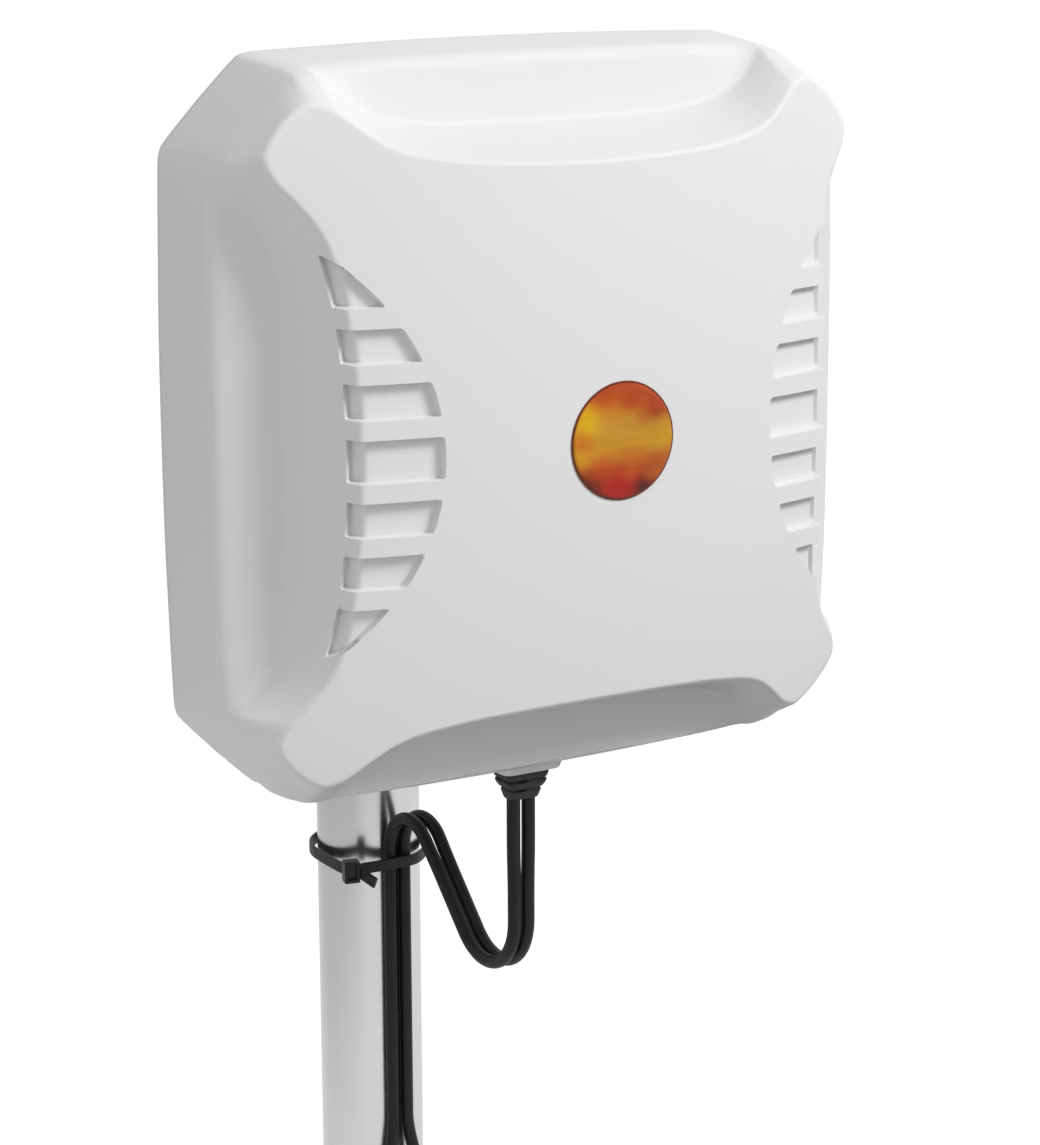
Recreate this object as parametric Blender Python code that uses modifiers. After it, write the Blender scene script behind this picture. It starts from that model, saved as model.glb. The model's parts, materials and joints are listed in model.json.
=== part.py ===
"""Panel antenna on a mast: housing, radiating elements, tilt bracket, mast clamp and twin leads.

Frame: +Z up the mast, antenna faces -Y, origin at the middle of the mast's foot.
Sizes are in mm and become metres as the meshes are made.
A depth is counted from the plane of the housing's rear rim towards the front (-Y).
"""
import math

import bmesh
import bpy
from mathutils import Matrix, Vector

MM = 0.001

# ---------------------------------------------------------------- driving dimensions
MAST_R = 20.0             # outer radius of the mast tube
MAST_WALL = 2.0
MAST_H = 450.0            # foot to top of cap
CENTRE_Z = 380.0          # height of the housing's centre
RIM_Y = -95.1             # plane of the housing's rear rim
GAP = 0.3                 # clearance between neighbouring solids
SHEET = 3.0               # thickness of the bracket sheet

SHELL_WALL = 2.8          # housing wall at the rim
BADGE_R = 20.0
BADGE_DEPTH = 85.0        # flat seat of the badge
COVER_BACK = 2.0          # depth of the rear cover's back face
COVER_INNER = 5.0         # depth of its inner face
REFLECTOR_DEPTH = 16.0    # depth of the reflector's back face
REFLECTOR_T = 1.5

TILT_Y, TILT_Z = -62.0, 394.0       # tilt pivot
LOCK_R = 28.0                       # lock bolt, straight below the pivot
LOCK_Y, LOCK_Z = TILT_Y, TILT_Z - LOCK_R
TILT_DEG = 15.0                     # tilt range either way
BOLT_R = 4.0
CLAMP_X = 27.2                      # clamp bolts beside the mast

COAX_R = 2.475
COAX_X = 3.1                        # half spacing of the two leads
LEAD_DEPTH = 20.0                   # depth of the leads at the bottom of the housing
LEAD_Y = RIM_Y - LEAD_DEPTH


def corners(x, z):
    """Four (x, z) places around the housing's centre."""
    return [(side * x, CENTRE_Z + level * z) for side in (-1, 1) for level in (-1, 1)]


COVER_POSTS = corners(114.6, 45.0) + corners(45.0, 114.6)
BRACKET_HOLES = corners(24.0, 28.0)
STANDOFFS = corners(78.0, 78.0)
LEAD_HOLES = [(side * COAX_X, LEAD_Y) for side in (-1, 1)]

# ---------------------------------------------------------------- scene and materials
for old in list(bpy.data.objects):
    bpy.data.objects.remove(old, do_unlink=True)

PARTS = bpy.data.collections.new("panel_antenna")
CUTTERS = bpy.data.collections.new("cutters")
bpy.context.scene.collection.children.link(PARTS)
bpy.context.scene.collection.children.link(CUTTERS)

FINISHES = {
    # name: (base colour, roughness, metallic)
    "housing": ((0.72, 0.72, 0.73), 0.45, 0.0),
    "cover": ((0.66, 0.66, 0.67), 0.5, 0.0),
    "black_rubber": ((0.02, 0.02, 0.022), 0.6, 0.0),
    "cable": ((0.025, 0.025, 0.027), 0.4, 0.0),
    "nylon": ((0.02, 0.02, 0.02), 0.45, 0.0),
    "badge": ((0.62, 0.18, 0.03), 0.1, 0.0),
    "mast": ((0.62, 0.63, 0.64), 0.35, 1.0),
    "galvanised": ((0.52, 0.53, 0.55), 0.45, 1.0),
    "stainless": ((0.60, 0.60, 0.60), 0.3, 1.0),
    "sheet": ((0.75, 0.76, 0.77), 0.35, 1.0),
    "board": ((0.05, 0.16, 0.07), 0.4, 0.0),
    "brass": ((0.80, 0.60, 0.28), 0.3, 1.0),
    "plug": ((0.03, 0.03, 0.03), 0.5, 0.0),
    "acetal": ((0.80, 0.80, 0.76), 0.4, 0.0),
}


def make_material(name, colour, roughness, metallic):
    material = bpy.data.materials.new(name)
    material.use_nodes = True
    shader = material.node_tree.nodes["Principled BSDF"]
    shader.inputs["Base Color"].default_value = (*colour, 1.0)
    shader.inputs["Roughness"].default_value = roughness
    shader.inputs["Metallic"].default_value = metallic
    material.diffuse_color = (*colour, 1.0)
    return material


MATERIALS = {name: make_material(name, *finish) for name, finish in FINISHES.items()}


# ---------------------------------------------------------------- solids
def new_object(name, data, material):
    """Object among the parts; boolean tools mostly have no material."""
    obj = bpy.data.objects.new(name, data)
    PARTS.objects.link(obj)
    if material is not None:
        data.materials.append(MATERIALS[material])
    return obj


def from_bmesh(name, bm, material, smooth=None):
    """Finish a bmesh; edges sharper than smooth degrees stay sharp."""
    bmesh.ops.recalc_face_normals(bm, faces=bm.faces)
    mesh = bpy.data.meshes.new(name)
    bm.to_mesh(mesh)
    bm.free()
    if smooth is not None:
        mesh.shade_smooth()
        mesh.set_sharp_from_angle(angle=math.radians(smooth))
    return new_object(name, mesh, material)


def add_box(name, low, high, material=None):
    """Axis-aligned block between two corners."""
    bm = bmesh.new()
    bmesh.ops.create_cube(bm, size=1.0)
    size = [(top - bottom) * MM for bottom, top in zip(low, high)]
    bmesh.ops.scale(bm, vec=size, verts=bm.verts)
    obj = from_bmesh(name, bm, material)
    obj.location = [(top + bottom) / 2 * MM for bottom, top in zip(low, high)]
    return obj


AXIS_TURNS = {
    "X": Matrix.Rotation(math.pi / 2, 4, "Y"),
    "Y": Matrix.Rotation(-math.pi / 2, 4, "X"),
    "Z": Matrix.Identity(4),
}


def add_cylinder(name, radius, start, end, centre, axis, material=None, segments=16):
    """Cylinder between two coordinates on an axis; centre holds the other two."""
    bm = bmesh.new()
    bmesh.ops.create_cone(bm, cap_ends=True, segments=segments, radius1=radius * MM,
                          radius2=radius * MM, depth=abs(end - start) * MM)
    obj = from_bmesh(name, bm, material, smooth=40)
    middle = (start + end) / 2
    place = {"X": (middle, *centre),
             "Y": (centre[0], middle, centre[1]),
             "Z": (*centre, middle)}[axis]
    obj.rotation_euler = AXIS_TURNS[axis].to_euler()
    obj.location = [value * MM for value in place]
    return obj


def turned(name, profile, material, steps=24, closed=False, place=(0, 0, 0), rotation=(0, 0, 0)):
    """Turned piece about local Z from a (radius, height) profile."""
    mesh = bpy.data.meshes.new(name)
    verts = [(radius * MM, 0.0, height * MM) for radius, height in profile]
    edges = [(i, i + 1) for i in range(len(verts) - 1)]
    if closed:
        edges.append((len(verts) - 1, 0))
    mesh.from_pydata(verts, edges, [])
    obj = new_object(name, mesh, material)
    screw = obj.modifiers.new("turn", "SCREW")
    screw.steps = steps
    screw.render_steps = steps
    screw.use_merge_vertices = True
    screw.merge_threshold = 0.00001
    screw.use_smooth_shade = True
    obj.location = [value * MM for value in place]
    obj.rotation_euler = rotation
    return obj


def prism(name, outline, low, high, axis, material=None):
    """Flat plate: outline in the plane normal to axis, raised from low to high."""
    def at(across, up, along):
        point = {"X": (along, across, up),
                 "Y": (across, along, up),
                 "Z": (across, up, along)}[axis]
        return [value * MM for value in point]

    bm = bmesh.new()
    face = bm.faces.new([bm.verts.new(at(across, up, low)) for across, up in outline])
    raised = bmesh.ops.extrude_face_region(bm, geom=[face])["geom"]
    raised_verts = [item for item in raised if isinstance(item, bmesh.types.BMVert)]
    bmesh.ops.translate(bm, vec=at(0, 0, high - low), verts=raised_verts)
    return from_bmesh(name, bm, material, smooth=40)


def loft(name, rings, material=None, closed_tube=False, smooth=35):
    """Skin through rings of equally many points, capped or joined end to end."""
    bm = bmesh.new()
    made = [[bm.verts.new([value * MM for value in point]) for point in ring] for ring in rings]
    count = len(made[0])
    pairs = list(zip(made[:-1], made[1:]))
    if closed_tube:
        pairs.append((made[-1], made[0]))
    for low, high in pairs:
        for i in range(count):
            j = (i + 1) % count
            bm.faces.new((low[i], low[j], high[j], high[i]))
    if not closed_tube:
        bm.faces.new(list(reversed(made[0])))
        bm.faces.new(made[-1])
    return from_bmesh(name, bm, material, smooth=smooth)


def wire(name, points, radius, material):
    """Round lead along a polyline, with filled ends."""
    curve = bpy.data.curves.new(name, "CURVE")
    curve.dimensions = "3D"
    spline = curve.splines.new("POLY")
    spline.points.add(len(points) - 1)
    for spline_point, (x, y, z) in zip(spline.points, points):
        spline_point.co = (x * MM, y * MM, z * MM, 1.0)
    curve.bevel_depth = radius * MM
    curve.bevel_resolution = 1
    curve.use_fill_caps = True
    return new_object(name, curve, material)


# ---------------------------------------------------------------- booleans
def boolean(obj, tool, operation):
    """Apply a tool to obj and put the tool away among the hidden cutters."""
    CUTTERS.objects.link(tool)
    PARTS.objects.unlink(tool)
    tool.hide_render = True
    tool.display_type = "WIRE"
    modifier = obj.modifiers.new(operation.lower(), "BOOLEAN")
    modifier.operation = operation
    modifier.object = tool
    modifier.solver = "EXACT"


def cut_off(obj, tool):
    boolean(obj, tool, "DIFFERENCE")


def join_on(obj, tool):
    boolean(obj, tool, "UNION")


def drill(obj, name, radius, start, end, centre, axis, segments=16):
    cut_off(obj, add_cylinder(name, radius, start, end, centre, axis, segments=segments))


def drill_each(obj, prefix, radius, start, end, centres, axis, segments=16):
    for k, centre in enumerate(centres, 1):
        drill(obj, f"{prefix}_{k}", radius, start, end, centre, axis, segments)


def raise_each(obj, prefix, radius, start, end, centres):
    """Twelve-sided posts along Y, joined on."""
    for k, centre in enumerate(centres, 1):
        join_on(obj, add_cylinder(f"{prefix}_{k}", radius, start, end, centre, "Y", segments=12))


# ---------------------------------------------------------------- shared geometry
def arc(centre_a, centre_b, radius, start, stop, count):
    """Points of an arc in a plane, angles in degrees."""
    angles = [math.radians(start + (stop - start) * i / count) for i in range(count + 1)]
    return [(centre_a + radius * math.cos(angle), centre_b + radius * math.sin(angle))
            for angle in angles]


def chamfered_square(half, chamfer):
    """(x, z) outline around the housing's centre."""
    left, right = -half, half
    bottom, top = CENTRE_Z - half, CENTRE_Z + half
    return [(left, bottom + chamfer), (left + chamfer, bottom),
            (right - chamfer, bottom), (right, bottom + chamfer),
            (right, top - chamfer), (right - chamfer, top),
            (left + chamfer, top), (left, top - chamfer)]


def ease(t):
    """Smooth step from 0 to 1."""
    return t * t * (3 - 2 * t)


def move(x, y, z):
    return Matrix.Translation(Vector((x, y, z)) * MM)


# ---------------------------------------------------------------- housing outlines
# Each is one half-octant, from the middle of a side to the corner diagonal.
# Rows: place along the side, distance of the side from the centre, depth.
RIM = tuple(zip(
    (0, 18, 36, 51, 63, 71, 78, 84.5, 91.5, 95.6, 98.5, 110.7),
    (127.1, 127.05, 126.9, 126.6, 126.3, 126.1, 125.9, 125.7, 125.4, 124.5, 122.3, 110.7),
    (0.0,) * 12))
BAND = tuple(zip(
    (0, 18, 36, 51, 63, 71, 78, 84, 88.8, 93.6, 96.8, 108.6),
    (124.1, 124.1, 124.0, 123.9, 123.7, 123.5, 123.3, 123.0, 122.7, 121.9, 119.9, 108.6),
    (33.8, 33.8, 33.8, 33.7, 33.6, 33.4, 33.0, 32.4, 31.6, 31.0, 30.7, 30.5)))
SHELF = tuple(zip(
    (0, 17, 34, 49, 60, 69, 77, 83, 88.3, 93.8, 97.0, 107.9),
    (101.6, 101.7, 101.9, 102.7, 104.1, 106.4, 110.7, 115.8, 120.6, 120.2, 118.1, 107.9),
    (41.1, 41.1, 41.0, 40.9, 40.7, 40.4, 40.0, 39.6, 39.4, 39.3, 39.3, 39.3)))
# The face's edge has no depth row: it lies on the dome.
FACE_EDGE = tuple(zip(
    (0, 16, 31, 46, 58, 66, 74, 83, 90, 95.8, 101.0, 106.4),
    (91.3, 91.5, 92.1, 93.1, 94.8, 96.2, 99.2, 105.5, 110.9, 112.7, 110.6, 106.4)))

DOME_DEPTH = 85.9        # depth of the face at its centre
DOME_FALL = 0.001497     # face depth = DOME_DEPTH - DOME_FALL * distance from centre squared


def dome(along, across):
    return DOME_DEPTH - DOME_FALL * (along * along + across * across)


def on_dome(scale=1.0, sink=0.0):
    """The face's edge scaled towards the centre, sunk below the dome."""
    scaled = [(along * scale, across * scale) for along, across in FACE_EDGE]
    return [(along, across, dome(along, across) - sink) for along, across in scaled]


def shrink(outline, wall, sink=0.0):
    """Move a half-octant in by the wall, square to the sides, and back by sink."""
    moved = []
    for along, across, depth in outline:
        across_in = across - wall
        if along < across - 0.01:
            along_in = max(along - wall * min(1.0, along / across), 0.0)
        else:
            along_in = across_in
        moved.append((along_in, across_in, depth - sink))
    return moved


def around(outline):
    """Closed ring of (x, y, z) from one half-octant, mirrored eight ways."""
    quarter = [(across, along, depth) for along, across, depth in outline]
    quarter += list(reversed(outline[:-1]))
    ring = []
    for turn in range(4):
        cos = round(math.cos(turn * math.pi / 2))
        sin = round(math.sin(turn * math.pi / 2))
        for x, z, depth in quarter[:-1]:
            ring.append((x * cos - z * sin, RIM_Y - depth, CENTRE_Z + x * sin + z * cos))
    return ring


def flat_ring(wall, depth):
    """The rim's outline moved in by wall, at one depth."""
    return around(shrink(RIM, wall, -depth))


# ---------------------------------------------------------------- housing shell
# Vent pockets on the face's left and right edges, heights from the centre:
# (low height, high height, inner edge at low, inner edge at high)
VENTS = ((-7.1, 7.1, 64.4, 64.4), (13.4, 25.0, 65.5, 67.9),
         (31.3, 42.6, 71.0, 76.6), (49.1, 62.5, 82.0, 92.2))
VENT_DEEP = 3.0
VENT_SIDE_DROP = 7.0     # how far the floor falls at the side wall
VENT_SIDE_RUN = 2.3      # sideways run of that fall
VENT_REACH = 14.0        # cutter beyond the face's edge
VENT_TOP = 95.0          # cutter's front, clear of the dome
EDGE_BOW = 0.0008        # the face's edge moves out by this times height squared


def outer_rings():
    between = [(rim[0] + (band[0] - rim[0]) * 0.4, rim[1] + (band[1] - rim[1]) * 0.4, 13.6)
               for rim, band in zip(RIM, BAND)]
    outlines = [RIM, between, BAND, SHELF]
    outlines += [on_dome(scale) for scale in (1.0, 0.86, 0.70, 0.52, 0.34)]
    return [around(outline) for outline in outlines]


def inner_rings():
    outlines = [shrink(RIM, SHELL_WALL),
                shrink(BAND, SHELL_WALL + 0.2, 2.4),
                shrink(SHELF, 3.6, 3.2),
                shrink(on_dome(), 6.2, 6.6)]
    outlines += [on_dome(scale, sink)
                 for scale, sink in ((0.76, 6.2), (0.60, 4.4), (0.44, 3.0), (0.30, 3.0))]
    return [around(outline) for outline in outlines]


def vent_cutter(name, side, ends):
    """Pocket that follows the face and folds down the side wall; ends are (height, inner x)."""
    rings = []
    for height, x_in in ends:
        edge = FACE_EDGE[0][1] + EDGE_BOW * height * height
        x_fold = edge - VENT_DEEP
        floor_in = dome(height, x_in) - VENT_DEEP
        floor_out = dome(height, x_fold) - VENT_DEEP
        low = floor_out - VENT_SIDE_DROP
        section = [(x_in, VENT_TOP), (x_in, floor_in), (x_fold, floor_out),
                   (x_fold + VENT_SIDE_RUN, low), (edge + VENT_REACH, low),
                   (edge + VENT_REACH, VENT_TOP)]
        rings.append([(side * x, RIM_Y - depth, CENTRE_Z + height) for x, depth in section])
    return loft(name, rings, smooth=None)


def cut_vents(radome):
    number = 0
    for side in (-1, 1):
        for low, high, low_x, high_x in VENTS:
            pockets = [((low, low_x), (high, high_x))]
            if low > 0:
                # the same pocket below the centre
                pockets.append(((-high, high_x), (-low, low_x)))
            for ends in pockets:
                number += 1
                cut_off(radome, vent_cutter(f"cut_vent_{number}", side, ends))


def build_radome():
    radome = loft("radome", list(reversed(outer_rings())) + inner_rings(), "housing")
    drill(radome, "cut_badge_seat", BADGE_R + 0.5, RIM_Y - BADGE_DEPTH, RIM_Y - 95.0,
          (0, CENTRE_Z), "Y", 32)
    cut_vents(radome)
    # screw posts inside the shell
    raise_each(radome, "add_post", 4.5, RIM_Y - COVER_INNER - GAP, RIM_Y - 35.2, COVER_POSTS)
    drill_each(radome, "cut_post", 1.9, RIM_Y + 2.0, RIM_Y - 20.0, COVER_POSTS, "Y", 8)
    # lead holes in the bottom band
    drill_each(radome, "cut_lead", 2.8, CENTRE_Z - 132.0, CENTRE_Z - 110.0, LEAD_HOLES, "Z", 12)


def build_badge():
    profile = [(0.0, 2.3), (6.0, 2.2), (12.0, 1.9), (17.0, 1.3), (19.2, 0.8), (BADGE_R, 0.35),
               (BADGE_R, 0.0), (0.0, 0.0)]
    turned("badge", profile, "badge", steps=32, place=(0, RIM_Y - BADGE_DEPTH - GAP, CENTRE_Z),
           rotation=(math.pi / 2, 0, 0))


# ---------------------------------------------------------------- rear cover and seal
PAD_HALF = 46.0          # mounting pad on the back
PAD_DEPTH = -3.0         # its back face, behind the rim
RIB_HALF_Y, RIB_HALF_WIDTH = 0.9, 1.3


def join_ribs(rear_cover):
    """Stiffening ribs from the pad towards the rim, upright, level and diagonal."""
    for k in range(8):
        if k % 2 == 0:
            first, last = PAD_HALF - 1.0, 112.0
        else:
            first, last = PAD_HALF * 1.32, 132.0
        rib = add_box(f"add_rib_{k}", (first, -RIB_HALF_Y, -RIB_HALF_WIDTH),
                      (last, RIB_HALF_Y, RIB_HALF_WIDTH))
        turn = Matrix.Rotation(-math.radians(45.0 * k), 4, "Y")
        rib.matrix_world = (move(0, RIM_Y - COVER_BACK + 0.3, CENTRE_Z) @ turn
                            @ move((first + last) / 2, 0, 0))
        join_on(rear_cover, rib)


def build_rear_cover():
    cover = loft("rear_cover", [flat_ring(SHELL_WALL + 0.7, COVER_BACK),
                                flat_ring(SHELL_WALL + 1.2, COVER_INNER)], "cover")
    join_on(cover, prism("add_pad", chamfered_square(PAD_HALF, 8), RIM_Y - COVER_BACK - 1.0,
                         RIM_Y - PAD_DEPTH, "Y"))
    join_ribs(cover)
    root = RIM_Y - COVER_INNER + 1.0
    raise_each(cover, "add_boss", 6.5, root, RIM_Y - 13.5, BRACKET_HOLES)
    raise_each(cover, "add_standoff", 4.0, root, RIM_Y - REFLECTOR_DEPTH + GAP, STANDOFFS)
    drill_each(cover, "cut_bracket_hole", 3.3, RIM_Y + 10.0, RIM_Y - 11.5, BRACKET_HOLES, "Y", 12)
    drill_each(cover, "cut_standoff", 1.8, RIM_Y - 7.0, RIM_Y - 20.0, STANDOFFS, "Y", 8)
    drill_each(cover, "cut_cover_hole", 2.3, RIM_Y + 4.0, RIM_Y - 8.0, COVER_POSTS, "Y", 8)


def build_gasket():
    """Seal between cover and shell."""
    rings = [flat_ring(4.1, 5.3), flat_ring(4.3, 7.2), flat_ring(6.4, 7.2), flat_ring(6.4, 5.3)]
    loft("rim_gasket", rings, "black_rubber", closed_tube=True)


# ---------------------------------------------------------------- pan-head screws
def pan_screws(prefix, centres, seat, head_r, head_h, shank_r, length, towards=1):
    """Screws along Y, head undersides at seat; shanks run towards -Y for towards=1, else +Y."""
    profile = [(0.0, head_h), (head_r * 0.72, head_h), (head_r, head_h * 0.45), (head_r, 0.0),
               (shank_r, 0.0), (shank_r, -length + shank_r * 0.6), (shank_r * 0.4, -length),
               (0.0, -length)]
    for k, (x, z) in enumerate(centres, 1):
        turned(f"{prefix}_{k}", profile, "stainless", steps=8, place=(x, seat, z),
               rotation=(-towards * math.pi / 2, 0, 0))


def build_housing_screws():
    pan_screws("cover_screw", COVER_POSTS, RIM_Y - COVER_BACK + GAP,
               head_r=3.8, head_h=2.6, shank_r=1.6, length=16.0)
    pan_screws("reflector_screw", STANDOFFS, RIM_Y - REFLECTOR_DEPTH - REFLECTOR_T - GAP,
               head_r=2.9, head_h=2.0, shank_r=1.5, length=9.0, towards=-1)


# ---------------------------------------------------------------- radiating parts
BOARD_T = 1.6
BOARD_BACK = REFLECTOR_DEPTH + REFLECTOR_T + GAP
BOARD_MID = 42.0         # depth where the crossing slots meet
BOARD_ARM = 54.0         # back edge of the arms
BOARD_FRONT = 65.0
STEM_HALF = 13.0
ARM_HALF = 72.0
SLOT_HALF = BOARD_T / 2 + 0.3
DIRECTOR_HALF = 27.0


def build_reflector():
    reflector = prism("reflector_plate", chamfered_square(96.0, 14.0),
                      RIM_Y - REFLECTOR_DEPTH - REFLECTOR_T, RIM_Y - REFLECTOR_DEPTH,
                      "Y", "sheet")
    drill_each(reflector, "cut_plate", 2.0, RIM_Y - 12.0, RIM_Y - 22.0, STANDOFFS, "Y", 8)


# T-shaped boards as (sideways, depth) outlines, slotted to cross each other
FRONT_SLOTTED = [
    (-STEM_HALF, BOARD_BACK), (STEM_HALF, BOARD_BACK), (STEM_HALF, BOARD_ARM),
    (ARM_HALF, BOARD_ARM), (ARM_HALF, BOARD_FRONT), (SLOT_HALF, BOARD_FRONT),
    (SLOT_HALF, BOARD_MID), (-SLOT_HALF, BOARD_MID), (-SLOT_HALF, BOARD_FRONT),
    (-ARM_HALF, BOARD_FRONT), (-ARM_HALF, BOARD_ARM), (-STEM_HALF, BOARD_ARM)]
REAR_SLOTTED = [
    (-STEM_HALF, BOARD_BACK), (-SLOT_HALF, BOARD_BACK), (-SLOT_HALF, BOARD_MID + 0.6),
    (SLOT_HALF, BOARD_MID + 0.6), (SLOT_HALF, BOARD_BACK), (STEM_HALF, BOARD_BACK),
    (STEM_HALF, BOARD_ARM), (ARM_HALF, BOARD_ARM), (ARM_HALF, BOARD_FRONT),
    (-ARM_HALF, BOARD_FRONT), (-ARM_HALF, BOARD_ARM), (-STEM_HALF, BOARD_ARM)]


def dipole_board(name, outline, angle):
    """Element board standing on the reflector, turned about Y."""
    board = prism(name, [(sideways, -depth) for sideways, depth in outline],
                  -BOARD_T / 2, BOARD_T / 2, "Z", "board")
    board.location = (0, RIM_Y * MM, CENTRE_Z * MM)
    board.rotation_euler = (0, math.radians(angle), 0)


def build_director():
    """Square plate in front of the boards, on a stepped spacer."""
    profile = [(0.0, 5.4), (5.0, 5.4), (5.0, 1.2), (8.0, 1.2), (8.0, 0.0), (0.0, 0.0)]
    turned("director_spacer", profile, "acetal", steps=16,
           place=(0, RIM_Y - BOARD_FRONT - GAP, CENTRE_Z), rotation=(math.pi / 2, 0, 0))
    low, high = CENTRE_Z - DIRECTOR_HALF, CENTRE_Z + DIRECTOR_HALF
    square = [(-DIRECTOR_HALF, low), (DIRECTOR_HALF, low),
              (DIRECTOR_HALF, high), (-DIRECTOR_HALF, high)]
    prism("director_plate", square, RIM_Y - BOARD_FRONT - 7.0, RIM_Y - BOARD_FRONT - 6.0,
          "Y", "sheet")


# ---------------------------------------------------------------- lead outlet and boot
OUTLET_TOP, OUTLET_BOTTOM = CENTRE_Z - 126.5, CENTRE_Z - 129.05
BOOT_TOP, BOOT_BOTTOM = OUTLET_BOTTOM - GAP, CENTRE_Z - 140.55
# Fraction of the way down the boot, half size in x, half size in y
BOOT_LEVELS = ((0.0, 8.8, 6.7), (0.28, 8.35, 6.4), (0.32, 7.7, 5.9), (0.38, 8.05, 6.2),
               (0.61, 6.9, 5.2), (0.655, 6.2, 4.6), (0.71, 6.45, 4.8), (0.94, 5.95, 3.9),
               (1.0, 5.8, 3.6))


def lead_section(half_x, half_y, radius, z):
    """Level rounded rectangle around the two leads."""
    points = []
    for sign_x, sign_y, start in ((1, 1, 0), (-1, 1, 90), (-1, -1, 180), (1, -1, 270)):
        corner = arc(sign_x * (half_x - radius), sign_y * (half_y - radius), radius,
                     start, start + 90, 3)
        points += [(x, LEAD_Y + y, z) for x, y in corner]
    return points


def build_outlet():
    outlet = loft("lead_outlet", [lead_section(11.9, 9.7, 3.6, OUTLET_BOTTOM),
                                  lead_section(12.7, 10.2, 4.0, OUTLET_TOP)], "housing")
    drill_each(outlet, "cut_outlet", COAX_R + GAP, OUTLET_TOP + 2, OUTLET_BOTTOM - 2,
               LEAD_HOLES, "Z", 12)


def build_boot():
    rings = [lead_section(half_x, half_y, 2.4, BOOT_TOP + (BOOT_BOTTOM - BOOT_TOP) * fraction)
             for fraction, half_x, half_y in reversed(BOOT_LEVELS)]
    boot = loft("cable_boot", rings, "black_rubber")
    drill_each(boot, "cut_boot", COAX_R + GAP, BOOT_TOP + 2, BOOT_BOTTOM - 2,
               LEAD_HOLES, "Z", 12)


# ---------------------------------------------------------------- twin leads
DROP_X = 9.0                                 # half spacing inside the housing
DROP_DEPTH = 20.6
DROP_EASE_Z, DROP_EASE_H = CENTRE_Z - 40.0, 50.0   # where the leads draw together
SAG_R = 21.0                                 # sag loop
SAG_Y, SAG_Z = LEAD_Y + SAG_R, 192.5
ARCH_Y, ARCH_Z, ARCH_R = -39.3, 193.4, 16.5  # turn down onto the mast
RUN_Y = -MAST_R - GAP - COAX_R               # centre line along the mast
RUN_TOP = 191.6                              # where the tied run begins
SPREAD_Z, SPREAD_H = 84.0, 34.0              # where the leads part again
SPREAD_X, SPREAD_Y = 4.4, 3.2                # how far apart and off the mast they go
END_X, END_Y = COAX_X + SPREAD_X, RUN_Y - SPREAD_Y
END_Z = 40.0                                 # lower end of the leads


def drop_points(side):
    """From inside the housing down to the bottom of the sag."""
    x = side * COAX_X
    drop_y = RIM_Y - DROP_DEPTH
    points = [(side * DROP_X, drop_y, CENTRE_Z - 14.0), (side * DROP_X, drop_y, DROP_EASE_Z)]
    for i in range(1, 7):
        t = i / 6.0
        points.append((side * (DROP_X - (DROP_X - COAX_X) * ease(t)),
                       drop_y + (DROP_DEPTH - LEAD_DEPTH) * ease(t),
                       DROP_EASE_Z - DROP_EASE_H * t))
    points.append((x, LEAD_Y, SAG_Z + 10.0))
    points += [(x, y, z) for y, z in arc(SAG_Y, SAG_Z, SAG_R, 180.0, 270.0, 8)]
    # a short level stretch squares the end
    points.insert(-1, (x, SAG_Y - 0.8, SAG_Z - SAG_R))
    return points


def loop_points(side):
    """Up from the sag and over the arch to the mast."""
    x = side * COAX_X
    start_y = SAG_Y + GAP
    path = [(start_y, SAG_Z - SAG_R), (start_y + 0.8, SAG_Z - SAG_R)]
    path += arc(SAG_Y, SAG_Z, SAG_R, 270.0, 315.0, 4)[1:]
    # the arch's last point gives way to one on the run's centre line
    path += arc(ARCH_Y, ARCH_Z, ARCH_R, 135.0, 0.0, 10)[:-1]
    path += [(RUN_Y, ARCH_Z), (RUN_Y, RUN_TOP)]
    return [(x, y, z) for y, z in path]


def run_points(side):
    """Down the mast, parting near the lower end."""
    points = [(side * COAX_X, RUN_Y, RUN_TOP - GAP), (side * COAX_X, RUN_Y, SPREAD_Z)]
    for i in range(1, 7):
        t = i / 6.0
        points.append((side * (COAX_X + SPREAD_X * ease(t)), RUN_Y - SPREAD_Y * ease(t),
                       SPREAD_Z - SPREAD_H * t))
    points.append((side * END_X, END_Y, END_Z))
    return points


# ---------------------------------------------------------------- connectors
# (radius, distance below the lead's end)
CONNECTOR_BODY = ((0.0, GAP), (3.2, GAP), (3.2, 10.0), (3.9, 10.3), (3.9, 14.0), (2.6, 14.0),
                  (2.6, 17.0), (3.3, 17.0), (3.3, 18.2), (2.3, 18.2), (2.3, 21.5), (1.6, 21.5),
                  (1.6, 20.9), (0.0, 20.9))
CENTRE_PIN = ((0.0, 21.2), (0.47, 21.2), (0.47, 24.4), (0.15, 24.8), (0.0, 24.8))
# (radius, height from the coupling nut's top)
NUT_BORE = ((0.0, 1.0), (2.9, 1.0), (2.9, -2.1), (3.6, -2.1), (3.6, -12.0), (0.0, -12.0))
COUPLING_TOP, COUPLING_BOTTOM = END_Z - 14.6, END_Z - 24.0


def build_connector(tag, side):
    """Crimp sleeve, body and collar in one piece, the centre pin and the free coupling nut."""
    x = side * END_X
    for name, profile, steps in (("connector_body_", CONNECTOR_BODY, 16),
                                 ("centre_pin_", CENTRE_PIN, 8)):
        turned(name + tag, [(radius, END_Z - below) for radius, below in profile], "brass",
               steps=steps, place=(x, END_Y, 0))
    nut = add_cylinder("coupling_nut_" + tag, 4.6, COUPLING_BOTTOM, COUPLING_TOP, (x, END_Y),
                       "Z", "brass", segments=6)
    cut_off(nut, turned("cut_nut_" + tag, NUT_BORE, "brass", steps=16,
                        place=(x, END_Y, COUPLING_TOP)))


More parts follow.
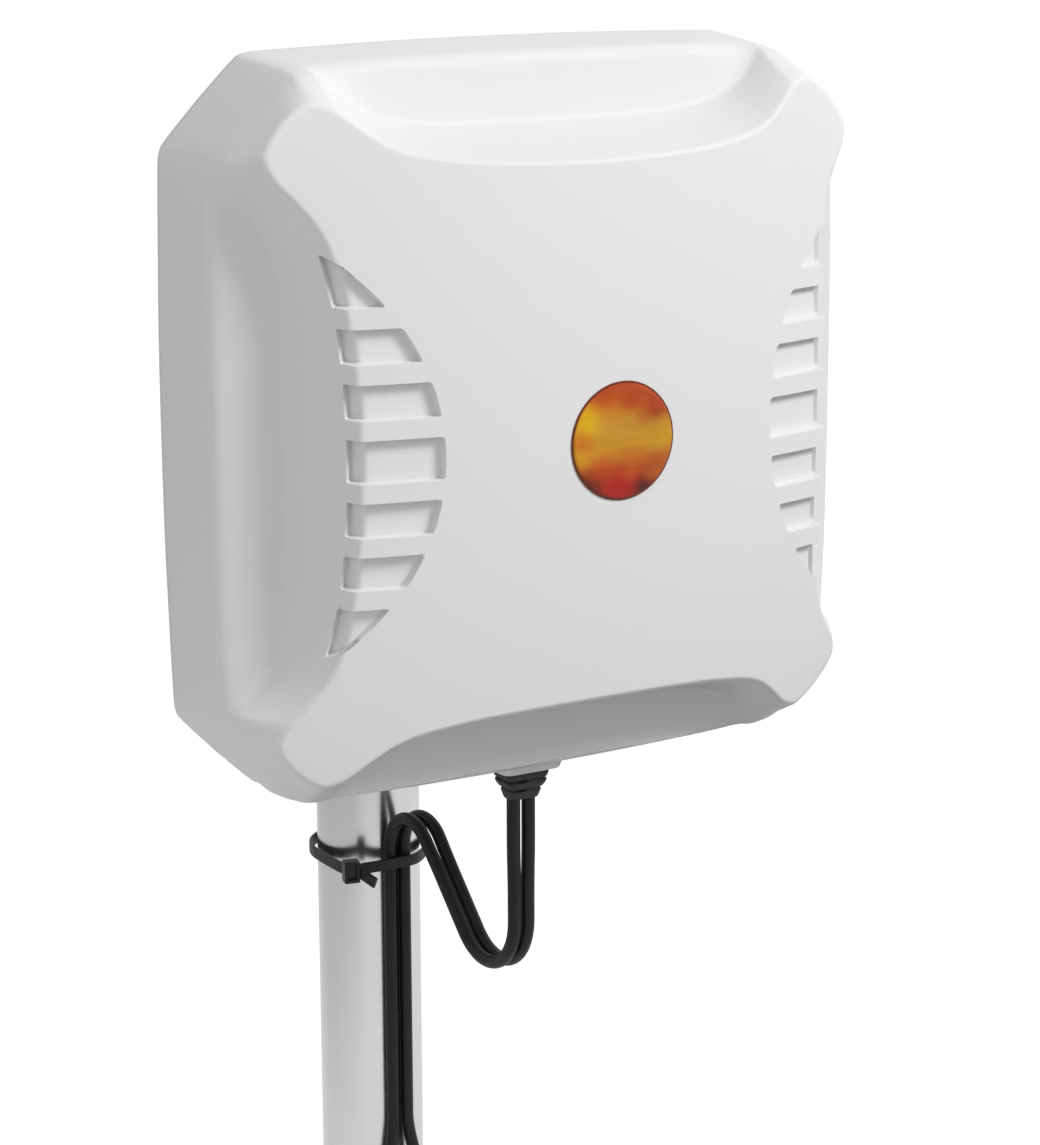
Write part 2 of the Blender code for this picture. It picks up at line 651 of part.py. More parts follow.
def build_leads():
    for tag, side in (("a", -1), ("b", 1)):
        wire("coax_drop_" + tag, drop_points(side), COAX_R, "cable")
        wire("coax_loop_" + tag, loop_points(side), COAX_R, "cable")
        wire("coax_run_" + tag, run_points(side), COAX_R, "cable")
        build_connector(tag, side)


# ---------------------------------------------------------------- cable tie
# Loose band round the mast and both leads: (x, y) of its centre line, from the head
# anticlockwise seen from above
STRAP = (
    (-19.4, -25.6), (-15.5, -25.7), (-11.0, -26.0), (-7.0, -26.35), (-3.1, -26.45),
    (0.0, -26.45), (3.1, -26.4), (7.4, -25.2), (12.8, -20.9), (17.7, -14.2),
    (20.7, -6.8), (21.5, 0.0), (20.2, 7.6), (15.2, 15.2), (7.6, 20.1),
    (0.0, 21.4), (-7.6, 20.4), (-14.6, 16.5), (-19.8, 10.8), (-22.5, 3.8),
    (-23.1, -4.0), (-23.1, -11.5), (-22.9, -18.0), (-22.3, -23.0), (-21.7, -25.4))
TIE_Z = 189.0            # mid height of the band
TIE_HALF_H = 4.4 / 2
TIE_HALF_T = 1.25 / 2


def strap_side(offset, z):
    """The centre line moved outwards by offset."""
    points = []
    for i, (x, y) in enumerate(STRAP):
        before_x, before_y = STRAP[i - 1]
        after_x, after_y = STRAP[(i + 1) % len(STRAP)]
        run_x, run_y = after_x - before_x, after_y - before_y
        length = math.hypot(run_x, run_y)
        points.append((x + offset * run_y / length, y - offset * run_x / length, z))
    return points


def build_cable_tie():
    low, high = TIE_Z - TIE_HALF_H, TIE_Z + TIE_HALF_H
    tie = loft("cable_tie", [strap_side(-TIE_HALF_T, low), strap_side(-TIE_HALF_T, high),
                             strap_side(TIE_HALF_T, high), strap_side(TIE_HALF_T, low)],
               "nylon", closed_tube=True)

    head = add_box("add_tie_head", (-3.05, -2.5, -4.3), (3.05, 2.5, 4.3))
    head.matrix_world = move(-21.7, -25.9, TIE_Z) @ Matrix.Rotation(math.radians(-14), 4, "Z")
    join_on(tie, head)

    tail_from = Vector((-19.6, -26.0, TIE_Z + 0.2))
    tail_to = Vector((-15.9, -34.6, TIE_Z - 3.4))
    run = tail_to - tail_from
    heading = Matrix.Rotation(math.atan2(run.y, run.x), 4, "Z")
    slope = Matrix.Rotation(math.atan2(-run.z, math.hypot(run.x, run.y)), 4, "Y")
    tail = add_box("add_tie_tail", (0.0, -TIE_HALF_T, -TIE_HALF_H),
                   (run.length, TIE_HALF_T, TIE_HALF_H))
    tail.matrix_world = move(*((tail_from + tail_to) * 0.5)) @ heading @ slope
    join_on(tie, tail)


# ---------------------------------------------------------------- mast
PLUG_R = 17.6            # plug and cap inside the tube


def build_mast():
    bore, foot, top = MAST_R - MAST_WALL, 3.3, MAST_H - 3.3
    turned("mast_tube", [(bore, top), (MAST_R, top), (MAST_R, foot), (bore, foot)],
           "mast", steps=32, closed=True)
    turned("mast_foot_plug", [(0.0, 16.0), (15.6, 16.0), (PLUG_R, 14.0), (PLUG_R, 3.0),
                              (MAST_R, 3.0), (MAST_R, 0.8), (MAST_R - 0.8, 0.0), (0.0, 0.0)],
           "plug")
    # (radius, distance below the top)
    cap = ((0.0, 0.0), (14.0, 0.5), (MAST_R - 1.0, 1.4), (MAST_R, 2.2), (MAST_R, 3.0),
           (PLUG_R, 3.0), (PLUG_R, 14.0), (15.6, 16.0), (0.0, 16.0))
    turned("mast_top_cap", [(radius, MAST_H - below) for radius, below in cap], "plug")


# ---------------------------------------------------------------- head bracket
HEAD_Y0 = RIM_Y - PAD_DEPTH + GAP     # web's face against the cover's pad
HEAD_Y1 = HEAD_Y0 + SHEET
HEAD_X = 34.6                         # outer face of the ears
EAR_R = 12.0                          # ear rounding about the pivot
BOLT_HOLE_R = BOLT_R + GAP


def join_ears(obj, prefix, outline, outer_x):
    """A pair of upright side plates, outline in (y, z)."""
    for k, side in enumerate((-1, 1), 1):
        low, high = sorted((side * outer_x, side * (outer_x - SHEET)))
        join_on(obj, prism(f"{prefix}_{k}", outline, low, high, "X"))


def build_head_bracket():
    bracket = add_box("head_bracket", (-HEAD_X, HEAD_Y0, CENTRE_Z - 40.0),
                      (HEAD_X, HEAD_Y1, CENTRE_Z + 40.0), "galvanised")
    ear = [(HEAD_Y0 + 0.4, CENTRE_Z - 36.0), (HEAD_Y0 + 0.4, CENTRE_Z + 36.0),
           (TILT_Y - 8.0, TILT_Z + 14.0)]
    ear += arc(TILT_Y, TILT_Z, EAR_R, 80, 0, 5)
    ear += arc(LOCK_Y, LOCK_Z, 11.5, 0, -80, 5)
    ear.append((LOCK_Y - 8.0, LOCK_Z - 14.0))
    join_ears(bracket, "add_head_ear", ear, HEAD_X)
    drill_each(bracket, "cut_web", 3.4, HEAD_Y0 - 2, HEAD_Y1 + 2, BRACKET_HOLES, "Y", 12)
    drill(bracket, "cut_head_pivot", BOLT_HOLE_R, -60, 60, (TILT_Y, TILT_Z), "X")
    drill(bracket, "cut_head_lock", BOLT_HOLE_R, -60, 60, (LOCK_Y, LOCK_Z), "X")
    pan_screws("bracket_screw", BRACKET_HOLES, HEAD_Y1 + GAP,
               head_r=5.8, head_h=3.6, shank_r=3.0, length=14.0)


# ---------------------------------------------------------------- mast yoke and rear jaw
YOKE_X = 38.2                          # outer face of the yoke's ears
WEB_NEAR = 30.0                        # webs' faces, distance from the mast's axis
WEB_FAR = WEB_NEAR + SHEET
YOKE_HALF_H, JAW_HALF_H = 24.0, 20.0
VEE_APEX = (MAST_R + GAP) * math.sqrt(2.0)   # right-angled vee clearing the mast
VEE_MOUTH = 9.0                        # mouth's distance from the mast's axis
VEE = [(-YOKE_X, WEB_NEAR + 0.6), (-YOKE_X, 24.0), (-26.0, VEE_MOUTH),
       (-(VEE_APEX - VEE_MOUTH), VEE_MOUTH), (0.0, VEE_APEX), (VEE_APEX - VEE_MOUTH, VEE_MOUTH),
       (26.0, VEE_MOUTH), (YOKE_X, 24.0), (YOKE_X, WEB_NEAR + 0.6)]
CLAMP_BOLTS = [(side * CLAMP_X, CENTRE_Z) for side in (-1, 1)]


def join_vees(obj, prefix, outline, half_height):
    """Level plates with a vee notch, at the top and bottom of a web."""
    for k, z in enumerate((CENTRE_Z + half_height - SHEET, CENTRE_Z - half_height), 1):
        join_on(obj, prism(f"{prefix}_{k}", outline, z, z + SHEET, "Z"))


def lock_slot():
    """Curved slot about the pivot for the lock bolt, in (y, z)."""
    half_angle = TILT_DEG + 1.2
    half_width = BOLT_R + 0.5
    low, high = 270 - half_angle, 270 + half_angle

    def rounded_end(angle, start, stop):
        turn = math.radians(angle)
        return arc(TILT_Y + LOCK_R * math.cos(turn), TILT_Z + LOCK_R * math.sin(turn),
                   half_width, start, stop, 4)

    return (arc(TILT_Y, TILT_Z, LOCK_R + half_width, low, high, 8)
            + rounded_end(high, high + 30, high + 150)
            + arc(TILT_Y, TILT_Z, LOCK_R - half_width, high, low, 8)
            + rounded_end(low, low - 150, low - 30))


def build_yoke():
    yoke = add_box("mast_yoke", (-YOKE_X, -WEB_FAR, CENTRE_Z - YOKE_HALF_H),
                   (YOKE_X, -WEB_NEAR, CENTRE_Z + YOKE_HALF_H), "galvanised")
    join_vees(yoke, "add_yoke_vee", [(x, -y) for x, y in VEE], YOKE_HALF_H)
    ear = [(-WEB_FAR + 0.6, CENTRE_Z - 23.5), (-WEB_FAR + 0.6, CENTRE_Z + 23.5),
           (TILT_Y + 8.0, TILT_Z + 12.6)]
    ear += arc(TILT_Y, TILT_Z, EAR_R, 80, 180, 6)
    ear += arc(TILT_Y, TILT_Z, 37.0, 270 - 27, 270 + 27, 6)
    join_ears(yoke, "add_yoke_ear", ear, YOKE_X)
    drill(yoke, "cut_yoke_pivot", BOLT_HOLE_R, -60, 60, (TILT_Y, TILT_Z), "X")
    cut_off(yoke, prism("cut_yoke_slot", lock_slot(), -60, 60, "X"))
    drill_each(yoke, "cut_yoke_bolt", BOLT_HOLE_R, -50, -20, CLAMP_BOLTS, "Y")


def build_rear_jaw():
    jaw = add_box("rear_jaw", (-YOKE_X, WEB_NEAR, CENTRE_Z - JAW_HALF_H),
                  (YOKE_X, WEB_FAR, CENTRE_Z + JAW_HALF_H), "galvanised")
    join_vees(jaw, "add_jaw_vee", VEE, JAW_HALF_H)
    drill_each(jaw, "cut_jaw_bolt", BOLT_HOLE_R, 20, 50, CLAMP_BOLTS, "Y")


# ---------------------------------------------------------------- bolts, washers and nuts
HEX_R = 13.0 / math.sqrt(3.0)          # corner radius for 13 mm across flats
HEAD_H = 5.3
WASHER_R, WASHER_T = 8.0, 1.6
NUT_H = 6.5


def hex_bolt(name, axis, centre, seat, end):
    """Bolt with its head before seat and its shank on to end, in the axis's direction."""
    bolt = add_cylinder(name, BOLT_R, seat - 0.6, end, centre, axis, "stainless")
    join_on(bolt, add_cylinder("add_" + name, HEX_R, seat, seat - HEAD_H, centre, axis,
                               segments=6))


def bored_disc(name, radius, segments, axis, centre, low, thickness):
    """Washer or nut with a clearance hole for the bolt."""
    high = low + thickness
    disc = add_cylinder(name, radius, low, high, centre, axis, "stainless", segments=segments)
    drill(disc, "cut_" + name, BOLT_HOLE_R, low - 1, high + 1, centre, axis, 12)


def washer(name, axis, centre, low):
    bored_disc(name, WASHER_R, 20, axis, centre, low, WASHER_T)


def hex_nut(name, axis, centre, low):
    bored_disc(name, HEX_R, 6, axis, centre, low, NUT_H)


def build_tilt_bolts():
    for tag, centre in (("pivot", (TILT_Y, TILT_Z)), ("tilt_lock", (LOCK_Y, LOCK_Z))):
        washer(tag + "_washer_1", "X", centre, -YOKE_X - GAP - WASHER_T)
        washer(tag + "_washer_2", "X", centre, YOKE_X + GAP)
        hex_bolt(tag + "_bolt", "X", centre, -YOKE_X - 2 * GAP - WASHER_T, YOKE_X + 12.5)
        hex_nut(tag + "_nut", "X", centre, YOKE_X + 2 * GAP + WASHER_T)


def build_clamp_bolts():
    for k, centre in enumerate(CLAMP_BOLTS, 1):
        hex_bolt(f"clamp_bolt_{k}", "Y", centre, -WEB_FAR - GAP, 47.0)
        washer(f"clamp_washer_{k}", "Y", centre, WEB_FAR + GAP)
        hex_nut(f"clamp_nut_{k}", "Y", centre, WEB_FAR + WASHER_T + 2 * GAP)


# ---------------------------------------------------------------- assembly
build_radome()
build_rear_cover()
build_gasket()
build_housing_screws()
build_badge()
build_reflector()
dipole_board("dipole_board_a", FRONT_SLOTTED, 45.0)
dipole_board("dipole_board_b", REAR_SLOTTED, -45.0)
build_director()
build_outlet()
build_boot()
build_leads()
build_cable_tie()
build_mast()
build_head_bracket()
build_yoke()
build_rear_jaw()
build_tilt_bolts()
build_clamp_bolts()
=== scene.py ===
"""Looks of a panel antenna on its mast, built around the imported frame.

The scene is in metres, +Z up. The mast stands on the origin and the antenna hangs in front of it,
facing -Y, with its axis at x = 0, z = PANEL_Z. Shapes are laid out in mm and scaled by MM.
"""
import json
import math

import bmesh
import bpy
import numpy as np
from mathutils import Matrix, Vector

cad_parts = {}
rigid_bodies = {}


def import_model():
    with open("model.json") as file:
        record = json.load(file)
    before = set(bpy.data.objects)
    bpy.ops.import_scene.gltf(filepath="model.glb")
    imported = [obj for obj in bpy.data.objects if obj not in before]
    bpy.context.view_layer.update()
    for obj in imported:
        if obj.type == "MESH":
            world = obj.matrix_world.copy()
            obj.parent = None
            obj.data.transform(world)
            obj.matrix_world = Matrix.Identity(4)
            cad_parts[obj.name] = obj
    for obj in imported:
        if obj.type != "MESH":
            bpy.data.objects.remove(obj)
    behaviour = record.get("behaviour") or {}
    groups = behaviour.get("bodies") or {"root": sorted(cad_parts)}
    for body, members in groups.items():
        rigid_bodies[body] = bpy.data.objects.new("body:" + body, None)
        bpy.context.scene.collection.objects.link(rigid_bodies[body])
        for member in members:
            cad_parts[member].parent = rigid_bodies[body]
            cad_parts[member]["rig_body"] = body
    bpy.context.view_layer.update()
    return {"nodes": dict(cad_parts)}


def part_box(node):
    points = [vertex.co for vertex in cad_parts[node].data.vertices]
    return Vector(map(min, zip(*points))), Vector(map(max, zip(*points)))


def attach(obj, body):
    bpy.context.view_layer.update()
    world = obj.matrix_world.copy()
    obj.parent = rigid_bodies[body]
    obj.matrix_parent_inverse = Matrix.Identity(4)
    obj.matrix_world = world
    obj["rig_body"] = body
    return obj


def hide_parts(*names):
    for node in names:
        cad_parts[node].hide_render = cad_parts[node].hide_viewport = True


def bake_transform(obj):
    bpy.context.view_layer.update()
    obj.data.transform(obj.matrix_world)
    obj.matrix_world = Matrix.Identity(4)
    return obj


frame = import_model()

SCENE = bpy.context.scene
MM = 0.001

PANEL_Z = 380.0         # height of the antenna's axis
RIM_Y = -95.1           # rear rim of the housing
GAP = 0.3               # clearance between touching parts
MAST_R, MAST_BORE, MAST_H = 20.0, 18.0, 450.0


def node_body(node):
    return frame["nodes"][node]["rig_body"]


# ================================================================ numbers
def lerp(a, b, t):
    return a + (b - a) * t


def smoothstep(x):
    x = np.clip(x, 0.0, 1.0)
    return x * x * (3 - 2 * x)


def unit(vectors):
    return vectors / np.linalg.norm(vectors, axis=-1, keepdims=True)


def pchip(stations, values, at):
    """Monotone cubic through the points, flat where the data turns."""
    stations, values, at = (np.asarray(a, float) for a in (stations, values, at))
    step = np.diff(stations)
    slope = np.diff(values) / step
    tangent = np.zeros(len(stations))
    for i in range(1, len(stations) - 1):
        if slope[i - 1] * slope[i] > 0:
            before, after = 2 * step[i] + step[i - 1], step[i] + 2 * step[i - 1]
            tangent[i] = (before + after) / (before / slope[i - 1] + after / slope[i])
    tangent[0], tangent[-1] = slope[0], slope[-1]
    k = np.clip(np.searchsorted(stations, at) - 1, 0, len(stations) - 2)
    t = (at - stations[k]) / step[k]
    t2, t3 = t * t, t * t * t
    return ((2 * t3 - 3 * t2 + 1) * values[k] + (t3 - 2 * t2 + t) * step[k] * tangent[k]
            + (-2 * t3 + 3 * t2) * values[k + 1] + (t3 - t2) * step[k] * tangent[k + 1])


def catmull_rom(points, step):
    """Smooth curve through the points, sampled about step apart."""
    points = np.asarray(points, float)
    padded = np.vstack([2 * points[0] - points[1], points, 2 * points[-1] - points[-2]])
    out = [points[0]]
    for k in range(1, len(padded) - 2):
        a, b, c, d = padded[k - 1:k + 3]
        count = max(1, int(round(np.linalg.norm(c - b) / step)))
        for i in range(1, count + 1):
            t = i / count
            out.append(0.5 * ((2 * b) + (c - a) * t + (2 * a - 5 * b + 4 * c - d) * t * t
                              + (3 * b - a - 3 * c + d) * t ** 3))
    return np.array(out)


# ================================================================ outlines
def arc(x, y, radius, start, stop, steps):
    """Points along an arc, angles in degrees."""
    angles = [math.radians(start + (stop - start) * i / steps) for i in range(steps + 1)]
    return [(x + radius * math.cos(a), y + radius * math.sin(a)) for a in angles]


def bend(start, corner, end, steps):
    """Quadratic curve from start to end, pulled towards the corner."""
    return [(1 - t) ** 2 * start + 2 * t * (1 - t) * corner + t * t * end
            for t in (i / steps for i in range(steps + 1))]


def rounded_profile(points, radii, steps=3):
    """Open polyline with its inner corners rounded, one radius per inner corner."""
    points = [np.array(p, float) for p in points]
    out = [points[0]]
    for k, radius in enumerate(radii, 1):
        a, b = points[k - 1] - points[k], points[k + 1] - points[k]
        len_a, len_b = np.linalg.norm(a), np.linalg.norm(b)
        cut = min(radius, 0.45 * len_a, 0.45 * len_b)
        if cut < 1e-4:
            out.append(points[k])
        else:
            start, end = points[k] + a / len_a * cut, points[k] + b / len_b * cut
            out += bend(start, points[k], end, steps)
    out.append(points[-1])
    return [tuple(p) for p in out]


def rounded_rect(half_x, half_y, radius, z, steps=6, centre_y=0.0, side=0):
    """Ring of a rounded rectangle, with side extra points on each straight."""
    out = []
    corners = [[(x, y, z) for x, y in arc(sx * (half_x - radius), centre_y + sy * (half_y - radius),
                                          radius, start, start + 90.0, steps)]
               for sx, sy, start in ((1, 1, 0), (-1, 1, 90), (-1, -1, 180), (1, -1, 270))]
    for corner, following in zip(corners, corners[1:] + corners[:1]):
        out += corner
        last, first = np.array(corner[-1]), np.array(following[0])
        out += [tuple(lerp(last, first, i / (side + 1))) for i in range(1, side + 1)]
    return np.array(out)


def eased_box(x0, x1, y0, y1, ease):
    """Rectangle with softened corners, from the lower end of its x0 side."""
    bit = ease * 0.3
    return [(x0, y0 + ease), (x0 + bit, y0 + bit), (x0 + ease, y0),
            (x1 - ease, y0), (x1 - bit, y0 + bit), (x1, y0 + ease),
            (x1, y1 - ease), (x1 - bit, y1 - bit), (x1 - ease, y1),
            (x0 + ease, y1), (x0 + bit, y1 - bit), (x0, y1 - ease)]


# ================================================================ meshes as (vertices, faces)
def bridge(near, far):
    """Faces between two rings of vertex numbers, either of which may be a single point."""
    faces = []
    count = max(len(near), len(far))
    for i in range(count):
        j = (i + 1) % count
        if len(near) == 1:
            faces.append((near[0], far[i], far[j]))
        elif len(far) == 1:
            faces.append((near[i], far[0], near[j]))
        else:
            faces.append((near[i], far[i], far[j], near[j]))
    return faces


def number_rings(rings, base=0):
    ids = []
    for ring in rings:
        ids.append(range(base, base + len(ring)))
        base += len(ring)
    return ids


def skin(rings, closed=False):
    """Surface over the rings; closed joins the last ring to the first."""
    rings = [np.asarray(ring, float).reshape(-1, 3) for ring in rings]
    ids = number_rings(rings)
    if closed:
        ids.append(ids[0])
    faces = [face for near, far in zip(ids[:-1], ids[1:]) for face in bridge(near, far)]
    return np.concatenate(rings), faces


def capped(rings):
    """Skin with a centre point closing each end."""
    return skin([rings[0].mean(0)] + rings + [rings[-1].mean(0)])


def turned(profile, steps=48, closed=False):
    """Solid turned from (radius, height) pairs, each a number or a function of the angles."""
    angles = np.arange(steps) * 2 * math.pi / steps

    def values(v):
        return v(angles) if callable(v) else np.full(steps, float(v))

    rings = []
    for radius, height in profile:
        if not callable(radius) and radius < 1e-6:
            rings.append((0.0, 0.0, height))
        else:
            r = values(radius)
            rings.append(np.stack([r * np.cos(angles), r * np.sin(angles), values(height)], 1))
    return skin(rings, closed)


def sweep(path, radius, sides=24):
    """Round tube along the path."""
    path = np.asarray(path, float)
    tangents = unit(np.gradient(path, axis=0))
    angles = np.arange(sides) * 2 * math.pi / sides
    normal = np.array([1.0, 0.0, 0.0])
    rings = []
    for point, tangent in zip(path, tangents):
        normal = unit(normal - tangent * (normal @ tangent))
        across = np.cross(tangent, normal)
        rings.append(point + radius * (np.cos(angles)[:, None] * normal
                                       + np.sin(angles)[:, None] * across))
    return capped(rings)


def extruded(outline, low, high, axis):
    """Prism of an outline. Axis X: outline (y, z); Y: (x, z); Z: (x, y)."""
    count = len(outline)
    outline = np.asarray(outline, float)
    verts = np.vstack([np.column_stack([outline, np.full(count, end)]) for end in (low, high)])
    verts = verts[:, {"X": [2, 0, 1], "Y": [0, 2, 1], "Z": [0, 1, 2]}[axis]]
    faces = [tuple(range(count)), tuple(range(2 * count - 1, count - 1, -1))]
    faces += [(i, count + i, count + (i + 1) % count, (i + 1) % count) for i in range(count)]
    return verts, faces


def placed(mesh, axis="Z", centre=(0.0, 0.0), base=0.0, sign=1):
    """Lays a mesh's own z along the axis, running from base in the direction sign."""
    verts, faces = mesh
    a, b, along = centre[0] + verts[:, 0], centre[1] + verts[:, 1], base + sign * verts[:, 2]
    columns = {"X": (along, a, b), "Y": (a, along, b), "Z": (a, b, along)}[axis]
    return np.stack(columns, 1), faces


def joined(*meshes):
    verts, faces, base = [], [], 0
    for part_verts, part_faces in meshes:
        verts.append(part_verts)
        faces += [tuple(i + base for i in face) for face in part_faces]
        base += len(part_verts)
    return np.concatenate(verts), faces


# ================================================================ objects
def shade(obj, angle):
    """Smooth shading with edges sharper than angle degrees kept."""
    obj.data.shade_smooth()
    obj.data.set_sharp_from_angle(angle=math.radians(angle))


def make_object(name, verts, faces, mat=None, angle=None):
    """Object from vertices in mm; flat shaded without an angle."""
    mesh = bpy.data.meshes.new(name)
    verts = np.asarray(verts, float) * MM
    mesh.from_pydata([tuple(v) for v in verts], [], [tuple(int(i) for i in f) for f in faces])
    mesh.validate()
    obj = bpy.data.objects.new(name, mesh)
    SCENE.collection.objects.link(obj)
    if mat is not None:
        mesh.materials.append(mat)
    work = bmesh.new()
    work.from_mesh(mesh)
    bmesh.ops.recalc_face_normals(work, faces=work.faces)
    work.to_mesh(mesh)
    work.free()
    if angle is not None:
        shade(obj, angle)
    return obj


def weight_normals(obj):
    obj.modifiers.new("weighted", "WEIGHTED_NORMAL").keep_sharp = True


def soften(obj, width, angle):
    """Welds the mesh and bevels the edges sharper than angle degrees."""
    obj.modifiers.new("weld", "WELD").merge_threshold = 0.00002
    bevel = obj.modifiers.new("edge", "BEVEL")
    bevel.width = width * MM
    bevel.segments = 2
    bevel.limit_method = "ANGLE"
    bevel.angle_limit = math.radians(angle)
    weight_normals(obj)


def enrol(obj, body, replaced):
    """Puts the object on the body it rides and hides the nodes it stands for."""
    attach(obj, body)
    if replaced:
        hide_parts(*replaced)


def piece(name, mesh, mat, body, replaced=(), angle=35, weighted=True):
    obj = make_object(name, *mesh, mat, angle)
    if weighted:
        weight_normals(obj)
    enrol(obj, body, replaced)


# ================================================================ shader nodes
class Nodes:
    """Adds nodes to one shader tree. Inputs are plain values or the outputs of other nodes."""

    def __init__(self, tree, shader):
        self.tree = tree
        self.shader = tree.nodes[shader]

    def feed(self, node, inputs):
        for key, value in inputs.items():
            socket = node.inputs[key]
            if isinstance(value, bpy.types.NodeSocket):
                self.tree.links.new(value, socket)
            else:
                socket.default_value = (*value, 1.0) if socket.type == "RGBA" else value

    def surface(self, inputs):
        self.feed(self.shader, inputs)

    def add(self, kind, inputs, **settings):
        node = self.tree.nodes.new("ShaderNode" + kind)
        for name, value in settings.items():
            setattr(node, name, value)
        self.feed(node, inputs)
        return node

    def coords(self, stretch=(1, 1, 1)):
        """Object coordinates in mm, times stretch."""
        source = self.add("TexCoord", {}).outputs["Object"]
        scale = tuple(1000.0 * s for s in stretch)
        return self.add("Mapping", {"Vector": source, "Scale": scale}).outputs["Vector"]

    def split(self, vector):
        return self.add("SeparateXYZ", {0: vector}).outputs

    def noise(self, vector, scale, detail=3.0, rough=0.5, distortion=0.0, output="Fac"):
        inputs = {"Vector": vector, "Scale": scale, "Detail": detail, "Roughness": rough,
                  "Distortion": distortion}
        return self.add("TexNoise", inputs).outputs[output]

    def ramp(self, factor, stops):
        """Colour ramp of (position, colour) stops."""
        node = self.add("ValToRGB", {"Fac": factor})
        elements = node.color_ramp.elements
        while len(elements) < len(stops):
            elements.new(0.5)
        for element, (position, colour) in zip(elements, stops):
            element.position = position
            element.color = (*colour, 1.0)
        return node.outputs["Color"]

    def remap(self, value, across=(0.3, 0.7), to=(0.0, 1.0), interpolation="LINEAR"):
        """Clamped map of the span across to the span to; the default suits noise."""
        inputs = {"Value": value, "From Min": across[0], "From Max": across[1],
                  "To Min": to[0], "To Max": to[1]}
        node = self.add("MapRange", inputs, interpolation_type=interpolation)
        return node.outputs["Result"]

    def math(self, operation, *values):
        return self.add("Math", dict(enumerate(values)), operation=operation).outputs["Value"]

    def mix(self, factor, a, b, blend="MIX"):
        """Colour mix; the Mix node's colour sockets are inputs 6 and 7 and output 2."""
        node = self.add("Mix", {0: factor, 6: a, 7: b}, data_type="RGBA", blend_type=blend)
        return node.outputs[2]

    def bump(self, height, strength, depth):
        """Bumps the surface; depth in mm."""
        inputs = {"Height": height, "Strength": strength, "Distance": depth * MM}
        self.surface({"Normal": self.add("Bump", inputs).outputs["Normal"]})

    def blob(self, vector, x, z, inner, outer):
        """1 within inner of the line along Y through (x, z), 0 beyond outer."""
        parts = self.split(vector)
        off_x = self.math("SUBTRACT", parts[0], x)
        off_z = self.math("SUBTRACT", parts[2], z)
        squared = self.math("ADD", self.math("MULTIPLY", off_x, off_x),
                            self.math("MULTIPLY", off_z, off_z))
        return self.remap(self.math("SQRT", squared), across=(outer, inner),
                          interpolation="SMOOTHSTEP")

    def window(self, value, rise, fall):
        """0 before the span rise, 1 between the spans, 0 after the span fall."""
        return self.math("MULTIPLY", self.remap(value, across=rise),
                         self.remap(value, across=fall[::-1]))

    def ray(self, kind):
        return self.add("LightPath", {}).outputs["Is %s Ray" % kind]


def new_material(name):
    mat = bpy.data.materials.new(name)
    mat.use_nodes = True
    return mat, Nodes(mat.node_tree, "Principled BSDF")


def shade_stops(rgb, vary):
    """Ramp stops from a little darker to a little lighter than rgb."""
    return ((0.3, tuple(c * (1 - vary) for c in rgb)),
            (0.7, tuple(min(1.0, c * (1 + vary)) for c in rgb)))


# ================================================================ materials
def moulded_plastic(name, rgb, rough, grain, vary, grain_depth):
    """Plastic with very faint flow in its colour, fine grain (size and depth in mm), uneven gloss."""
    mat, nodes = new_material(name)
    vec = nodes.coords()
    flow = nodes.noise(vec, scale=0.012, rough=0.55, distortion=0.6)
    nodes.surface({"Base Color": nodes.ramp(flow, shade_stops(rgb, vary))})
    smear = nodes.noise(vec, scale=0.045, detail=4.0, rough=0.6)
    nodes.surface({"Roughness": nodes.remap(smear, to=(rough - 0.03, rough + 0.04))})
    nodes.bump(nodes.noise(vec, scale=1.0 / grain, rough=0.6), strength=0.35, depth=grain_depth)
    return mat


def metal(name, rgb, rough, vary, scale, rough_vary=0.05, lines=None, line_depth=0.0, aniso=0.0):
    """Bare metal with uneven gloss; lines stretches the coordinates for drawn or rolled marks."""
    mat, nodes = new_material(name)
    vec = nodes.coords()
    tone = nodes.noise(vec, scale=scale, detail=4.0, rough=0.6)
    nodes.surface({"Base Color": nodes.ramp(tone, shade_stops(rgb, vary)), "Metallic": 1.0})
    smear = nodes.noise(vec, scale=scale * 3.1, detail=5.0, rough=0.65)
    gloss = nodes.remap(smear, to=(rough - rough_vary * 0.5, rough + rough_vary))
    if lines:
        streak = nodes.noise(nodes.coords(lines), scale=1.0, detail=2.0)
        gloss = nodes.math("ADD", gloss, nodes.remap(streak, to=(-0.02, 0.03)))
        nodes.bump(streak, strength=0.25, depth=line_depth)
    nodes.surface({"Roughness": gloss})
    if aniso:
        tangent = nodes.add("Tangent", {}, direction_type="RADIAL", axis="Z").outputs["Tangent"]
        nodes.surface({"Anisotropic": aniso, "Tangent": tangent})
    return mat


def galvanised(name):
    """Hot-dip zinc: angular crystal patches of different grey, dull sheen, faint ripples."""
    mat, nodes = new_material(name)
    vec = nodes.coords()
    warp = nodes.add("TexNoise", {"Vector": vec, "Scale": 0.35}).outputs["Color"]
    moved = nodes.add("VectorMath", {0: warp, 1: (2.2, 2.2, 2.2), 2: vec},
                      operation="MULTIPLY_ADD").outputs["Vector"]
    cells = nodes.add("TexVoronoi", {"Vector": moved, "Scale": 0.21}).outputs["Color"]
    patch = nodes.add("SeparateColor", {"Color": cells}).outputs
    greys = ((0.0, (0.46, 0.475, 0.49)), (0.5, (0.55, 0.565, 0.58)), (1.0, (0.66, 0.675, 0.69)))
    nodes.surface({
        "Base Color": nodes.ramp(patch["Red"], greys),
        "Metallic": 0.85,
        "Roughness": nodes.remap(patch["Green"], across=(0.0, 1.0), to=(0.34, 0.56))})
    nodes.bump(nodes.noise(vec, scale=0.5, detail=4.0, rough=0.6), strength=0.3, depth=0.05)
    return mat


